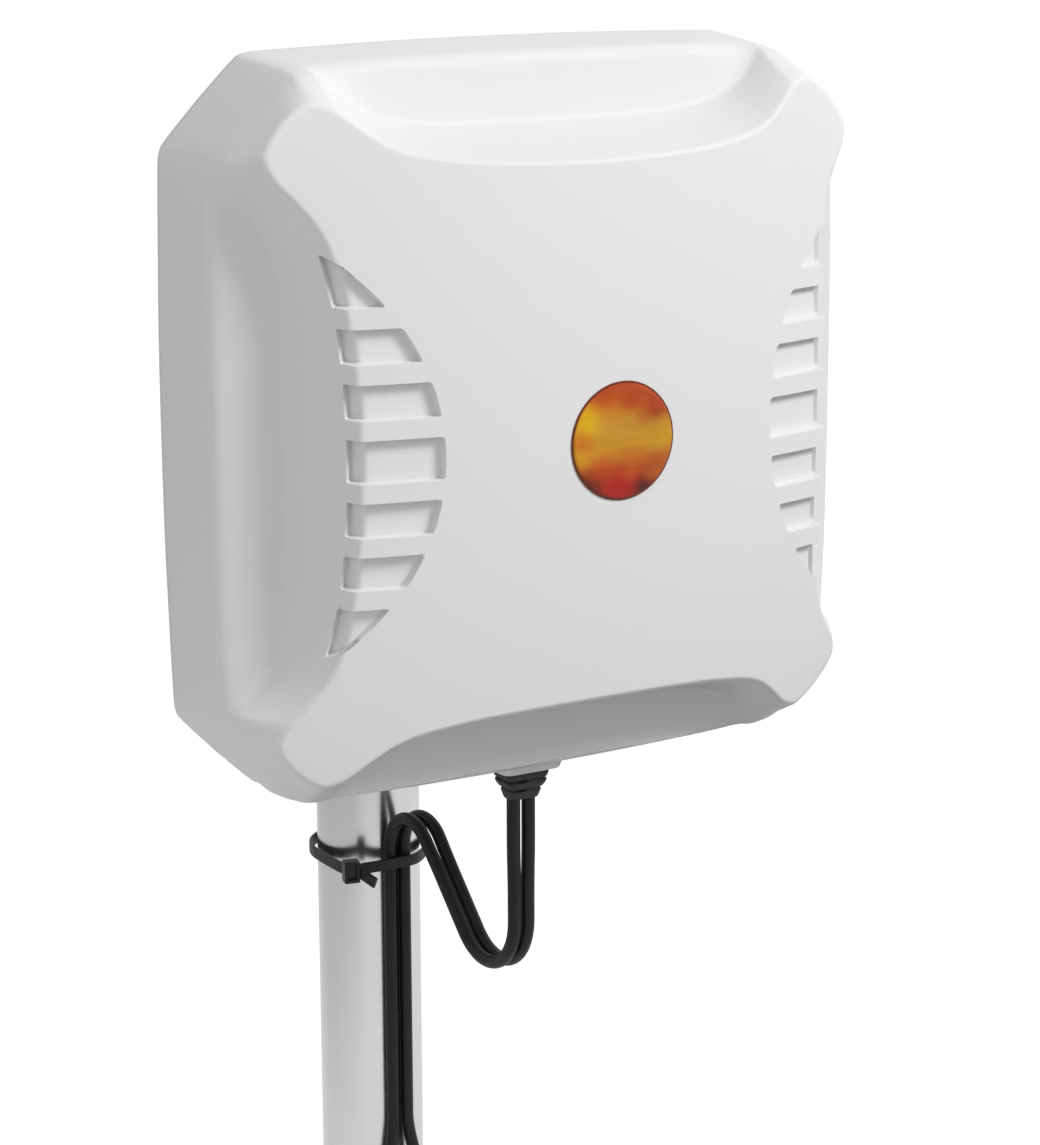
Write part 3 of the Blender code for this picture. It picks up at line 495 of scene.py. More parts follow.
def jacket(name, rgb, rough):
    """Dark rubber or nylon: faint drift in tone, scuffed gloss."""
    mat, nodes = new_material(name)
    vec = nodes.coords()
    tone = nodes.noise(vec, scale=0.06, detail=4.0, rough=0.6)
    stops = ((0.35, rgb), (0.7, tuple(c * 1.35 for c in rgb)))
    nodes.surface({"Base Color": nodes.ramp(tone, stops), "Specular IOR Level": 0.3})
    scuffs = nodes.noise(vec, scale=0.3, detail=5.0, rough=0.7)
    nodes.surface({"Roughness": nodes.remap(scuffs, to=(rough - 0.04, rough + 0.08))})
    nodes.bump(nodes.noise(vec, scale=3.0, rough=0.6), strength=0.25, depth=0.01)
    return mat


def circuit_board(name):
    """Green-coated glass laminate with its weave showing faintly."""
    mat, nodes = new_material(name)
    vec = nodes.coords()
    waves = [nodes.add("TexWave", {"Vector": vec, "Scale": 0.55}, bands_direction=axis)
             for axis in ("X", "Z")]
    weave = nodes.math("ADD", *(wave.outputs["Fac"] for wave in waves))
    greens = ((0.0, (0.012, 0.085, 0.035)), (1.0, (0.02, 0.115, 0.05)))
    nodes.surface({"Base Color": nodes.ramp(nodes.remap(weave, across=(0.0, 2.0)), greens),
                   "Roughness": 0.35})
    return mat


# ground colours of the badge from bottom to top, (position, colour)
BADGE_BANDS = (
    (0.0, (0.30, 0.010, 0.006)), (0.14, (0.40, 0.022, 0.006)), (0.25, (0.48, 0.065, 0.006)),
    (0.36, (0.52, 0.16, 0.008)), (0.46, (0.52, 0.235, 0.008)), (0.62, (0.52, 0.25, 0.022)),
    (0.74, (0.50, 0.20, 0.012)), (0.84, (0.46, 0.10, 0.006)), (0.93, (0.42, 0.06, 0.005)),
    (1.0, (0.32, 0.035, 0.004)))
# patches over them: x and z from the badge's centre, solid radius, outer radius, colour
BADGE_PATCHES = (
    (-15.0, 7.0, 1.5, 10.0, (0.62, 0.345, 0.003)),
    (13.0, 11.5, 2.0, 10.5, (0.36, 0.045, 0.006)),
    (4.0, 14.0, 1.0, 8.0, (0.38, 0.055, 0.005)),
    (-15.5, 1.0, 0.5, 6.5, (0.57, 0.17, 0.008)),
    (-17.0, -4.0, 0.5, 6.0, (0.60, 0.27, 0.008)),
    (12.0, 0.5, 2.0, 9.0, (0.52, 0.26, 0.008)),
    (13.0, -9.0, 1.0, 8.0, (0.42, 0.09, 0.006)),
    (9.0, -17.0, 1.0, 8.5, (0.075, 0.006, 0.006)),
    (-15.0, -14.5, 1.0, 8.0, (0.14, 0.018, 0.006)),
    (-2.5, -17.0, 1.0, 6.0, (0.40, 0.012, 0.006)))
BADGE_DRIFT = ((0.3, (0.86, 0.80, 0.72)), (0.5, (1.0, 1.0, 1.0)), (0.7, (1.08, 1.12, 1.1)))
BADGE_R = 20.0


def badge_resin(name):
    """Poured resin dome over a marbled amber, orange and deep red ground."""
    mat, nodes = new_material(name)
    vec = nodes.coords()
    warp = nodes.noise(vec, scale=0.085, detail=1.5, rough=0.45, output="Color")
    centred = nodes.add("VectorMath", {0: warp, 1: (0.5, 0.5, 0.5)}, operation="SUBTRACT")
    warped = nodes.add("VectorMath", {0: centred.outputs["Vector"], 1: (8.0, 0.0, 8.0), 2: vec},
                       operation="MULTIPLY_ADD").outputs["Vector"]
    level = nodes.remap(nodes.split(warped)[2], across=(PANEL_Z - BADGE_R, PANEL_Z + BADGE_R))
    colour = nodes.ramp(level, BADGE_BANDS)
    for x, z, inner, outer, patch in BADGE_PATCHES:
        colour = nodes.mix(nodes.blob(warped, x, PANEL_Z + z, inner, outer), colour, patch)
    drift = nodes.noise(nodes.coords((0.045, 0.1, 0.16)), scale=1.0, distortion=0.6)
    colour = nodes.mix(1.0, colour, nodes.ramp(drift, BADGE_DRIFT), blend="MULTIPLY")
    nodes.surface({"Base Color": colour, "Roughness": 0.5, "Specular IOR Level": 0.05,
                   "Coat Weight": 1.0, "Coat Roughness": 0.035, "Coat IOR": 1.36})
    nodes.bump(nodes.noise(vec, scale=0.08, detail=2.0), strength=0.1, depth=0.05)
    return mat


HOUSING = moulded_plastic("housing_plastic", (0.71, 0.712, 0.718), rough=0.36, grain=0.45,
                          vary=0.006, grain_depth=0.008)
COVER = moulded_plastic("cover_plastic", (0.62, 0.623, 0.63), rough=0.5, grain=0.6,
                        vary=0.01, grain_depth=0.02)
SEAL = jacket("seal_rubber", (0.02, 0.02, 0.021), rough=0.65)
BOOT_RUBBER = jacket("boot_rubber", (0.026, 0.026, 0.027), rough=0.52)
CABLE = jacket("cable_jacket", (0.0085, 0.0085, 0.009), rough=0.44)
NYLON = jacket("tie_nylon", (0.017, 0.017, 0.018), rough=0.38)
PLUG = moulded_plastic("plug_plastic", (0.028, 0.028, 0.03), rough=0.5, grain=0.5,
                       vary=0.06, grain_depth=0.02)
MAST_METAL = metal("mast_metal", (0.80, 0.81, 0.815), rough=0.24, vary=0.015, scale=0.02,
                   rough_vary=0.02, lines=(1.1, 1.1, 0.006), line_depth=0.0008, aniso=0.2)
GALVANISED = galvanised("galvanised_steel")
STAINLESS = metal("stainless_steel", (0.60, 0.595, 0.58), rough=0.27, vary=0.05, scale=0.12,
                  rough_vary=0.08)
SHEET_METAL = metal("aluminium_sheet", (0.74, 0.745, 0.75), rough=0.33, vary=0.03, scale=0.04,
                    lines=(0.02, 1.6, 1.6), line_depth=0.003)
BRASS = metal("nickelled_brass", (0.70, 0.56, 0.30), rough=0.22, vary=0.06, scale=0.25,
              rough_vary=0.08)
ACETAL = moulded_plastic("acetal", (0.72, 0.71, 0.68), rough=0.38, grain=0.4,
                         vary=0.02, grain_depth=0.01)
BOARD = circuit_board("board_laminate")
BADGE = badge_resin("badge_resin")
BADGE_EDGE = jacket("badge_edge", (0.13, 0.026, 0.010), rough=0.3)

# ================================================================ radome outline
# Half of one side, at stations from mid-side (0) to corner (11). Rows: distance along the side,
# distance out from the axis, depth forward of the rim. FACE has no depth: it lies on the dome.
RIM = (
    (0, 18, 36, 51, 63, 71, 78, 84.5, 91.5, 95.6, 98.5, 110.7),
    (127.1, 127.05, 126.9, 126.6, 126.3, 126.1, 125.9, 125.7, 125.4, 124.5, 122.3, 110.7),
    (0,) * 12)
BAND = (
    (0, 18, 36, 51, 63, 71, 78, 84, 88.8, 93.6, 96.8, 108.6),
    (124.1, 124.1, 124.0, 123.9, 123.7, 123.5, 123.3, 123.0, 122.7, 121.9, 119.9, 108.6),
    (33.8, 33.8, 33.8, 33.7, 33.6, 33.4, 33.0, 32.4, 31.6, 31.0, 30.7, 30.5))
SHELF = (
    (0, 17, 34, 49, 60, 69, 77, 83, 88.3, 93.8, 97.0, 107.9),
    (101.6, 101.7, 101.9, 102.7, 104.1, 106.4, 110.7, 115.8, 120.6, 120.2, 118.1, 107.9),
    (41.1, 41.1, 41.0, 40.9, 40.7, 40.4, 40.0, 39.6, 39.4, 39.3, 39.3, 39.3))
FACE = (
    (0, 16, 31, 46, 58, 66, 74, 83, 90, 95.8, 101.0, 106.4),
    (91.3, 91.5, 92.1, 93.1, 94.8, 96.2, 99.2, 105.5, 110.9, 112.7, 110.6, 106.4))
CORNER = 11.0
DOME_D, DOME_K = 85.9, 0.001497     # depth of the dome at the axis, fall per squared mm
INSET = 3.4                         # from the face corner in to the face's edge

# wall corners from the rim to the face: how far each is cut back, steps round it,
# and steps on the straights before, between and after them
WALL_CUTS = (3.0, 4.6, 1.7, 0.05, 2.4)
FLOOR_CUTS = (3.0, 4.6, 1.7, 0.05, 1.6)
CORNER_STEPS = (2, 7, 9, 1, 8)
STRAIGHT_STEPS = (3, 3, 4, 3, 17, 1)
BAND_RING, SHELF_RING = 15, 28      # rings of the wall that the inner skin follows
POCKET_RINGS = 40                   # rings next to the face that the pockets may reach

# pockets in both sides of the face: an arc about (POCKET_ARC_X, 0) trims their inner ends
POCKET_ARC_X, POCKET_ARC_R, POCKET_ARC_Z = 143.3, 79.6, 78.0
POCKET_ROWS = [(-7.1, 7.1)]
for inner, outer in ((13.4, 25.0), (31.3, 42.6), (49.1, 70.0)):
    POCKET_ROWS += [(inner, outer), (-outer, -inner)]
POCKET_DEEP, POCKET_WALL, POCKET_R, POCKET_DOWN = 3.0, 0.4, 1.3, 6.6
# mesh lines across a pocket's wall, from outside it inwards
POCKET_LINES = (-0.35, -0.1, 0.0, 0.1, 0.2, 0.3, 0.4, 0.5, 0.62, 0.75, 0.95, 1.2, 1.5)
ARC_END = 62.0          # height where the columns leave the pockets' arc
ROW_END = 66.0          # height where the rows start to bend towards the top edge
TOP_START = 88.0        # where the columns' fine lines start at the corner


def dome(x, z):
    return DOME_D - DOME_K * (x * x + z * z)


def on_dome(along, out):
    return np.stack([along, out, dome(along, out)], 1)


def key_points(stations):
    """Wall points at the stations, rim to face: arrays (n, 3) of (along, out, depth)."""
    def curve(table):
        return np.stack([pchip(np.arange(12.0), row, stations) for row in table], 1)

    rim, band, shelf = curve(RIM), curve(BAND), curve(SHELF)
    low = rim + (band - rim) * 0.42 + np.array([0.0, 0.12, 0.0])
    along, out = curve(FACE).T
    turn = smoothstep((stations - 7.6) / 2.6) * (math.pi / 4)
    edge = on_dome(along - INSET * np.sin(turn), out - INSET * np.cos(turn))
    return rim, low, band, shelf, on_dome(along, out), edge


def station_of(along):
    fine = np.linspace(0, CORNER, 2201)
    return np.interp(along, key_points(fine)[-1][:, 0], fine)


def wall_points(stations):
    """Key points with one more on the slope just below the face."""
    rim, low, band, shelf, face, edge = key_points(stations)
    drop = shelf - face
    length = np.linalg.norm(drop, axis=1, keepdims=True)
    near = face + drop / length * np.minimum(9.0, 0.5 * length)
    return [rim, low, band, shelf, near, face, edge]


def rounded_wall(points, cuts):
    """Wall through the points with its inner corners bent round: array (stations, rings, 3)."""
    def straight(start, end, steps):
        return [lerp(start, end, i / (steps + 1.0)) for i in range(1, steps + 1)]

    out = [points[0]]
    last = points[0]
    for k in range(1, len(points) - 1):
        point = points[k]
        a, b = points[k - 1] - point, points[k + 1] - point
        len_a, len_b = (np.linalg.norm(v, axis=1, keepdims=True) for v in (a, b))
        cut = np.minimum(cuts[k - 1], 0.48 * np.minimum(len_a, len_b))
        start, end = point + a / len_a * cut, point + b / len_b * cut
        out += straight(last, start, STRAIGHT_STEPS[k - 1])
        out += bend(start, point, end, CORNER_STEPS[k - 1])
        last = end
    out += straight(last, points[-1], STRAIGHT_STEPS[-1])
    out.append(points[-1])
    return np.stack(out, 1)


def pocket_start(z):
    """Distance from the axis to the pockets' inner ends at height z."""
    z = np.minimum(np.abs(z), POCKET_ARC_Z)
    return POCKET_ARC_X - np.sqrt(POCKET_ARC_R ** 2 - z ** 2)


def pocket_weight(x, z, down):
    """0 outside a pocket, 1 on its floor. down is the distance down the wall from the face."""
    height = np.minimum(np.abs(z), POCKET_ARC_Z)
    slope = height / np.sqrt(POCKET_ARC_R ** 2 - height ** 2)
    past_end = (np.abs(x) - pocket_start(z)) / np.sqrt(1 + slope ** 2)
    past_end = np.minimum(past_end, POCKET_DOWN - down)
    best = np.zeros_like(z)
    for low, high in POCKET_ROWS:
        past_side = np.minimum(z - low, high - z)
        inside = POCKET_R - np.hypot(np.maximum(POCKET_R - past_end, 0),
                                     np.maximum(POCKET_R - past_side, 0))
        inside = np.where((past_end < 0) | (past_side < 0), np.minimum(past_end, past_side), inside)
        best = np.maximum(best, smoothstep(inside / POCKET_WALL))
    return best


def pocket_floor(points):
    """The wall as it runs on the pockets' floor, and how far out the floor's edge lies."""
    rim, low, band, shelf, near, face, edge = points
    down = unit(shelf - face)
    inwards = unit(np.stack([0 * down[:, 0], down[:, 2], -down[:, 1]], 1))
    corner = face + inwards * POCKET_DEEP
    for _ in range(4):      # slide the corner along the wall until it meets the lowered face
        error = (dome(corner[:, 0], corner[:, 1]) - POCKET_DEEP) - corner[:, 2]
        corner = corner - down * (error / np.maximum(-down[:, 2], 0.3))[:, None]
    floor_edge = on_dome(edge[:, 0], corner[:, 1] - INSET)
    floor_edge[:, 2] -= POCKET_DEEP
    points = [rim, low, band, shelf + inwards * POCKET_DEEP, corner + (near - face), corner,
              floor_edge]
    return rounded_wall(points, FLOOR_CUTS), floor_edge[:, 1]


def row_heights():
    """Heights of the face's middle rows: fine across the pocket walls, filled in between."""
    heights = set()
    for low, high in POCKET_ROWS:
        for line in POCKET_LINES:
            if low > -64:
                heights.add(round(low + line, 3))
            if high < 64:
                heights.add(round(high - line, 3))
    for z in np.arange(55.0, ROW_END + 0.01, 0.5):
        heights |= {float(z), -float(z)}
    heights = sorted(heights)
    filled = [heights[0]]
    for z in heights[1:]:
        gap = z - filled[-1]
        if gap < 0.04:
            continue
        count = int(math.ceil(gap / 2.4))
        for _ in range(1, count):
            filled.append(filled[-1] + gap / count)
        filled.append(z)
    return np.array(filled)


def face_rows():
    """Station of each row's end, and -1 below or 1 above the axis."""
    middle = row_heights()
    ends = np.linspace(station_of(ROW_END), CORNER, 30)[1:]
    stations = np.concatenate([ends[::-1], station_of(np.abs(middle)), ends])
    signs = np.concatenate([-np.ones(len(ends)), np.sign(middle), np.ones(len(ends))])
    return stations, signs


def face_grid(edge_x, edge_z):
    """Grid of the plain face: pocket start of each row, x, z, and station of each column's top."""
    height = np.abs(edge_z)
    corner = float(key_points(np.array([CORNER]))[-1][0, 0])
    blend = smoothstep((height - ARC_END) / (corner - ARC_END))
    start = np.where(height < ARC_END, pocket_start(height),
                     lerp(pocket_start(ARC_END), TOP_START, blend))
    start = np.minimum(start, edge_x - 1.7)
    scale = np.minimum(1.0, (edge_x - start) / 6.0)
    centre = np.linspace(0.0, 1.0, 15)[:-1]
    rest = np.linspace(0.0, 1.0, 13)[1:]
    rows = []
    for first, size, edge in zip(start, scale, edge_x):
        fine = first + size * np.array(POCKET_LINES)
        half = np.concatenate([centre * fine[0], fine, lerp(fine[-1], edge, rest)])
        rows.append(np.concatenate([-half[:0:-1], half]))
    x = np.array(rows)
    stations = station_of(np.abs(x[-1]))
    stations[0] = stations[-1] = CORNER
    top_z = key_points(stations)[-1][:, 1]
    lift = np.sign(edge_z) * np.clip((height - ROW_END) / (corner - ROW_END), 0, 1) ** 1.5
    z = edge_z[:, None] + lift[:, None] * (top_z - corner)[None, :]
    z[-1], z[0] = top_z, -top_z
    return start, x, z, stations


def inner_skin(rings):
    """Rings from the rear rim forward inside the wall and in towards the axis."""
    def inset(ring, wall, y):
        ring = ring.copy()
        shrink = 1 - wall / np.maximum(np.abs(ring[:, 0]), np.abs(ring[:, 2] - PANEL_Z))
        ring[:, 0] *= shrink
        ring[:, 2] = PANEL_Z + (ring[:, 2] - PANEL_Z) * shrink
        ring[:, 1] = y
        return ring

    shell = [inset(rings[:, 0], wall, RIM_Y - forward) for wall, forward in
             ((0.12, 0.12), (0.5, 0.0), (2.3, 0.0), (2.7, 0.12), (2.85, 0.5))]
    for k, wall, back in ((BAND_RING, 3.2, 2.4), (SHELF_RING, 4.2, 3.4), (-1, 8.0, 7.0)):
        shell.append(inset(rings[:, k], wall, rings[:, k, 1] + back))
    last = shell[-1]
    for size in (0.75, 0.5, 0.25):
        x, z = last[:, 0] * size, (last[:, 2] - PANEL_Z) * size
        shell.append(np.stack([x, RIM_Y - dome(x, z) + (3.0 + 3.5 * size), PANEL_Z + z], 1))
    shell.append(np.array([[0.0, RIM_Y - DOME_D + 3.0, PANEL_Z]]))
    return shell


def shape_lower_edge(points):
    """Bows the lower band, fills out its corners and runs a small bead under the lower scoop."""
    x, depth, z = points[:, 0], RIM_Y - points[:, 1], points[:, 2] - PANEL_Z
    band = smoothstep((depth - 10.0) / 14.0) * smoothstep((46.0 - depth) / 12.0)
    bow = 1.9 * smoothstep((-z - 108.0) / 12.0) * band
    bow = bow * (1.0 - 0.55 * np.minimum(1.0, (x / 105.0) ** 2))
    corner = 3.4 * np.exp(-((np.abs(x) - 102.0) / 9.0) ** 2 - ((z + 115.0) / 9.0) ** 2)
    corner = corner * smoothstep((depth - 8.0) / 14.0) * smoothstep((44.0 - depth) / 14.0)
    points[:, 2] -= bow + corner
    below = PANEL_Z - points[:, 2]
    bead = np.exp(-((below - 123.4) / 1.25) ** 2) * smoothstep((99.0 - np.abs(x)) / 10.0)
    bead = bead * smoothstep((depth - 31.5) / 1.6) * smoothstep((40.0 - depth) / 3.0)
    points[:, 1] -= 1.7 * bead


def radome_mesh():
    stations, signs = face_rows()
    side_points = wall_points(stations)
    face, edge = side_points[5:]
    edge_x = edge[:, 1]
    start, x, z, column_stations = face_grid(edge_x, edge[:, 0] * signs)
    side = rounded_wall(side_points, WALL_CUTS)
    top = rounded_wall(wall_points(column_stations), WALL_CUTS)
    floor, floor_x = pocket_floor(side_points)

    # pockets where they run over the edge and down the wall
    down = np.linalg.norm(side - face[:, None, :], axis=2)
    down = np.where(side[:, :, 2] < face[:, None, 2], down, 0.0)
    weight = pocket_weight(side[:, :, 1], side[:, :, 0] * signs[:, None], down)
    weight[:, :-POCKET_RINGS] = 0.0
    side = side + (floor - side) * weight[:, :, None]

    # pockets on the face
    weight = pocket_weight(x, z, 0.0)
    ratio = (floor_x - start) / np.maximum(edge_x - start, 0.1)
    x_floor = np.sign(x) * (start[:, None] + (np.abs(x) - start[:, None]) * ratio[:, None])
    depth = lerp(dome(x, z), dome(x_floor, z) - POCKET_DEEP, weight)
    face_verts = np.stack([lerp(x, x_floor, weight), RIM_Y - depth, PANEL_Z + z], 2).reshape(-1, 3)
    rows, cols = x.shape
    faces = [(a, a + 1, a + cols + 1, a + cols)
             for i in range(rows - 1) for a in range(i * cols, i * cols + cols - 1)]

    # walls below the face's perimeter, anticlockwise from the front: bottom, right, top, left
    def end_wall(j, up):
        along, out, forward = top[j].T
        return np.stack([np.sign(x[-1, j]) * along, RIM_Y - forward, PANEL_Z + up * out], 1)

    def side_wall(i, right):
        along, out, forward = side[i].T
        return np.stack([right * out, RIM_Y - forward, PANEL_Z + signs[i] * along], 1)

    perimeter = [*range(cols - 1)]
    perimeter += [i * cols + cols - 1 for i in range(rows - 1)]
    perimeter += [(rows - 1) * cols + j for j in range(cols - 1, 0, -1)]
    perimeter += [i * cols for i in range(rows - 1, 0, -1)]
    rings = np.array([end_wall(j, -1) for j in range(cols - 1)]
                     + [side_wall(i, 1) for i in range(rows - 1)]
                     + [end_wall(j, 1) for j in range(cols - 1, 0, -1)]
                     + [side_wall(i, -1) for i in range(rows - 1, 0, -1)])
    shell = [rings[:, k] for k in range(rings.shape[1] - 2, 0, -1)]
    shell.append(lerp(rings[:, 0], rings[:, 1], 0.12))
    shell += inner_skin(rings)
    ids = [perimeter] + number_rings(shell, len(face_verts))
    for near, far in zip(ids[:-1], ids[1:]):
        faces += bridge(near, far)
    verts = np.concatenate([face_verts] + shell)
    shape_lower_edge(verts)
    return verts, faces


def flatten_face_shading(mesh):
    """The face shades as if it were a little flatter than its dome."""
    normals = np.zeros(len(mesh.loops) * 3)
    mesh.corner_normals.foreach_get("vector", normals)
    normals = normals.reshape(-1, 3)
    normals[:, 2] *= 1.0 - 0.6 * smoothstep((-normals[:, 1] - 0.86) / 0.08)
    normals /= np.maximum(1e-9, np.linalg.norm(normals, axis=1, keepdims=True))
    mesh.normals_split_custom_set([tuple(row) for row in normals])


radome = make_object("radome_shell", *radome_mesh(), HOUSING, angle=60)
flatten_face_shading(radome.data)
enrol(radome, "head", ("radome",))


# ================================================================ badge
def badge_height(radius):
    """Depth of the badge's top forward of the rim."""
    return 87.55 - 0.0034 * radius * radius


def facing_front(mesh):
    return placed(mesh, "Y", (0.0, PANEL_Z), RIM_Y, -1)


# (radius, height over the radome's dome)
BADGE_RIM = ((18.2, 0.05), (19.9, -0.1), (BADGE_R, 0.3), (19.85, 0.45), (19.4, 0.5), (18.2, 0.5))
profile = [(radius, dome(0, radius) + lift) for radius, lift in BADGE_RIM]
piece("badge_rim", facing_front(turned(profile, 96, closed=True)), BADGE_EDGE, "head")

profile = [(radius, badge_height(radius))
           for radius in (0.0, 2, 4, 6, 8, 10, 12, 14, 15.5, 16.8, 17.8)]
profile += [(radius, badge_height(18.4) - fall)
            for radius, fall in ((18.4, 0.03), (18.8, 0.12), (19.1, 0.28), (19.3, 0.5))]
profile += [(19.4, dome(0, 19.3) + 0.25), (19.4, dome(0, 19.3) + 0.1)]
profile += [(radius, dome(0, radius) + 0.05) for radius in (14.0, 8.0, 0.0)]
piece("badge_dome", facing_front(turned(profile, 96)), BADGE, "head", ("badge",))

# ================================================================ mast
PLUG_R, PLUG_LIP, PLUG_DEEP = 17.6, 3.0, 16.0
TUBE_END = PLUG_LIP + GAP

profile = [(18.15, TUBE_END), (19.8, TUBE_END), (MAST_R, 3.5)]
profile += [(MAST_R, z) for z in np.linspace(8.0, MAST_H - 8.0, 32)]
profile += [(MAST_R, MAST_H - 3.5), (19.8, MAST_H - TUBE_END), (18.15, MAST_H - TUBE_END),
            (MAST_BORE, MAST_H - 3.45), (MAST_BORE, 3.45)]
piece("mast_tube_drawn", turned(profile, 128, closed=True), MAST_METAL, "mast",
      ("mast_tube",))
profile = rounded_profile(
    [(0.0, PLUG_DEEP), (15.6, PLUG_DEEP), (PLUG_R, 13.0), (PLUG_R, PLUG_LIP), (MAST_R, PLUG_LIP),
     (MAST_R, 0.0), (0.0, 0.0)], [1.0, 1.0, 0.2, 0.4, 0.9])
piece("mast_foot_insert", turned(profile, 96), PLUG, "mast", ("mast_foot_plug",))
profile = rounded_profile(
    [(0.0, MAST_H), (13.0, MAST_H - 0.35), (MAST_R, MAST_H - 1.4), (MAST_R, MAST_H - PLUG_LIP),
     (PLUG_R, MAST_H - PLUG_LIP), (PLUG_R, MAST_H - 13.0), (15.6, MAST_H - PLUG_DEEP),
     (0.0, MAST_H - PLUG_DEEP)], [8.0, 1.6, 0.3, 0.2, 0.8, 0.8], 5)
piece("mast_cap", turned(profile, 96), PLUG, "mast", ("mast_top_cap",))

# ================================================================ lead outlet and boot
LEAD_Y = RIM_Y - 20.0
# (z, half width in x, half width in y)
OUTLET = ((256.6, 13.3, 10.6), (253.6, 12.75, 10.25), (252.6, 12.4, 10.0), (251.9, 12.2, 9.85),
          (251.35, 12.05, 9.75), (251.1, 11.9, 9.6), (251.0, 11.75, 9.45), (250.95, 11.4, 9.1))
# (share of the way down, half width in x, half width in y)
BOOT = (
    (0.0, 8.75, 6.65), (0.06, 8.8, 6.7), (0.14, 8.7, 6.63), (0.22, 8.5, 6.5), (0.26, 8.36, 6.4),
    (0.285, 8.1, 6.2), (0.30, 7.75, 5.9), (0.32, 7.55, 5.75), (0.335, 7.6, 5.8),
    (0.36, 7.98, 6.12), (0.39, 8.12, 6.25), (0.43, 8.05, 6.2), (0.50, 7.7, 5.9), (0.56, 7.3, 5.55),
    (0.60, 6.98, 5.3), (0.625, 6.6, 4.95), (0.64, 6.25, 4.6), (0.655, 6.1, 4.5), (0.67, 6.15, 4.55),
    (0.69, 6.4, 4.75), (0.72, 6.5, 4.85), (0.78, 6.42, 4.7), (0.85, 6.25, 4.45),
    (0.92, 6.05, 4.1), (0.96, 5.95, 3.9), (0.985, 5.85, 3.7), (1.0, 5.7, 3.4))
BOOT_TOP, BOOT_LOW = 250.65, 239.45
NOTCHES = (0.322, 0.658)        # shares of the way down where the boot's flats are notched
NOTCH_X, NOTCH_HALF, NOTCH_DEEP = 2.9, 2.35, 1.5


def boot_mesh():
    shares, half_x, half_y = np.array(BOOT).T
    fine = np.unique(np.concatenate([np.linspace(0, 1, 72), shares]))
    rings = []
    for t, wide, deep in zip(fine, pchip(shares, half_x, fine), pchip(shares, half_y, fine)):
        ring = rounded_rect(wide, deep, 2.4, lerp(BOOT_TOP, BOOT_LOW, t), centre_y=LEAD_Y, side=14)
        for notch in NOTCHES:
            weight = smoothstep((0.052 - abs(t - notch)) / 0.012)
            off = ring[:, 1] - LEAD_Y
            from_middle = np.abs(ring[:, 0] - NOTCH_X * np.sign(off))
            weight = weight * smoothstep((NOTCH_HALF - from_middle) / 0.3)
            cut = LEAD_Y + off - np.sign(off) * NOTCH_DEEP * weight
            ring[:, 1] = np.where(np.abs(off) > deep - 0.05, cut, ring[:, 1])
        rings.append(ring)
    return capped(rings)


rings = [rounded_rect(wide, deep, 3.6, z, centre_y=LEAD_Y) for z, wide, deep in OUTLET]
piece("outlet_plinth", capped(rings), HOUSING, "head", ("lead_outlet",), angle=45)
piece("boot", boot_mesh(), BOOT_RUBBER, "head", ("cable_boot",), angle=50,
      weighted=False)

# ================================================================ leads
LEAD_R, LEAD_X = 2.475, 3.1
FEED_X, FEED_Y = 9.0, LEAD_Y - 0.6                  # where the leads start inside the housing
SAG_Y, SAG_Z, SAG_R = -94.1, 192.5, 21.0            # lower bend, in the YZ plane
ARCH_Y, ARCH_Z, ARCH_R = -39.3, 193.4, 16.5         # upper bend next to the mast
RUN_Y = -MAST_R - GAP - LEAD_R                      # run down the mast
CONNECTOR_X, CONNECTOR_Y, CONNECTOR_TOP = LEAD_X + 4.4, RUN_Y - 3.2, 40.0


def upper_lead():
    """From inside the housing to the bottom of the sag."""
    path = [(FEED_X, FEED_Y, PANEL_Z - 14.0), (FEED_X, FEED_Y, PANEL_Z - 27.0)]
    for i in range(13):
        t = i / 12.0
        s = smoothstep(t)
        path.append((lerp(FEED_X, LEAD_X, s), lerp(FEED_Y, LEAD_Y, s), PANEL_Z - 40.0 - 50.0 * t))
    path += [(LEAD_X, LEAD_Y, z) for z in np.arange(PANEL_Z - 96.0, SAG_Z + 1.0, -3.0)]
    return path + [(LEAD_X, y, z) for y, z in arc(SAG_Y, SAG_Z, SAG_R, 180.0, 270.0, 28)]


def lower_lead():
    """From the bottom of the sag over the arch and down the mast to the connector."""
    sag = arc(SAG_Y, SAG_Z, SAG_R, 270.0, 315.0, 14)
    arch = arc(ARCH_Y, ARCH_Z, ARCH_R, 135.0, 0.0, 36)
    start, goal = np.array(sag[-1]), np.array(arch[0])
    count = int(np.linalg.norm(goal - start) / 2.0)
    rise = [tuple(lerp(start, goal, i / count)) for i in range(1, count)]
    path = [(LEAD_X, y, z) for y, z in sag + rise + arch]
    path += [(LEAD_X, lerp(ARCH_Y + ARCH_R, RUN_Y, smoothstep(i / 4.0)), ARCH_Z - 2.0 * i)
             for i in range(1, 5)]
    path += [(LEAD_X, RUN_Y, z) for z in np.arange(ARCH_Z - 12.0, 86.0, -4.0)]
    for i in range(17):
        t = i / 16.0
        s = smoothstep(t)
        path.append((lerp(LEAD_X, CONNECTOR_X, s), lerp(RUN_Y, CONNECTOR_Y, s), 84.0 - 34.0 * t))
    return path + [(CONNECTOR_X, CONNECTOR_Y, z) for z in (45.0, CONNECTOR_TOP)]


def drawn_in(path, side):
    """Puts the path on one side; the two leads lie a little closer along the sag."""
    return [(side * (x - 0.3 * float(smoothstep((224.0 - z) / 22.0)
                                     * smoothstep((-46.0 - y) / 16.0))), y, z)
            for x, y, z in path]


def lead(name, path, side):
    return make_object(name, *sweep(drawn_in(path, side), LEAD_R), CABLE, 50)


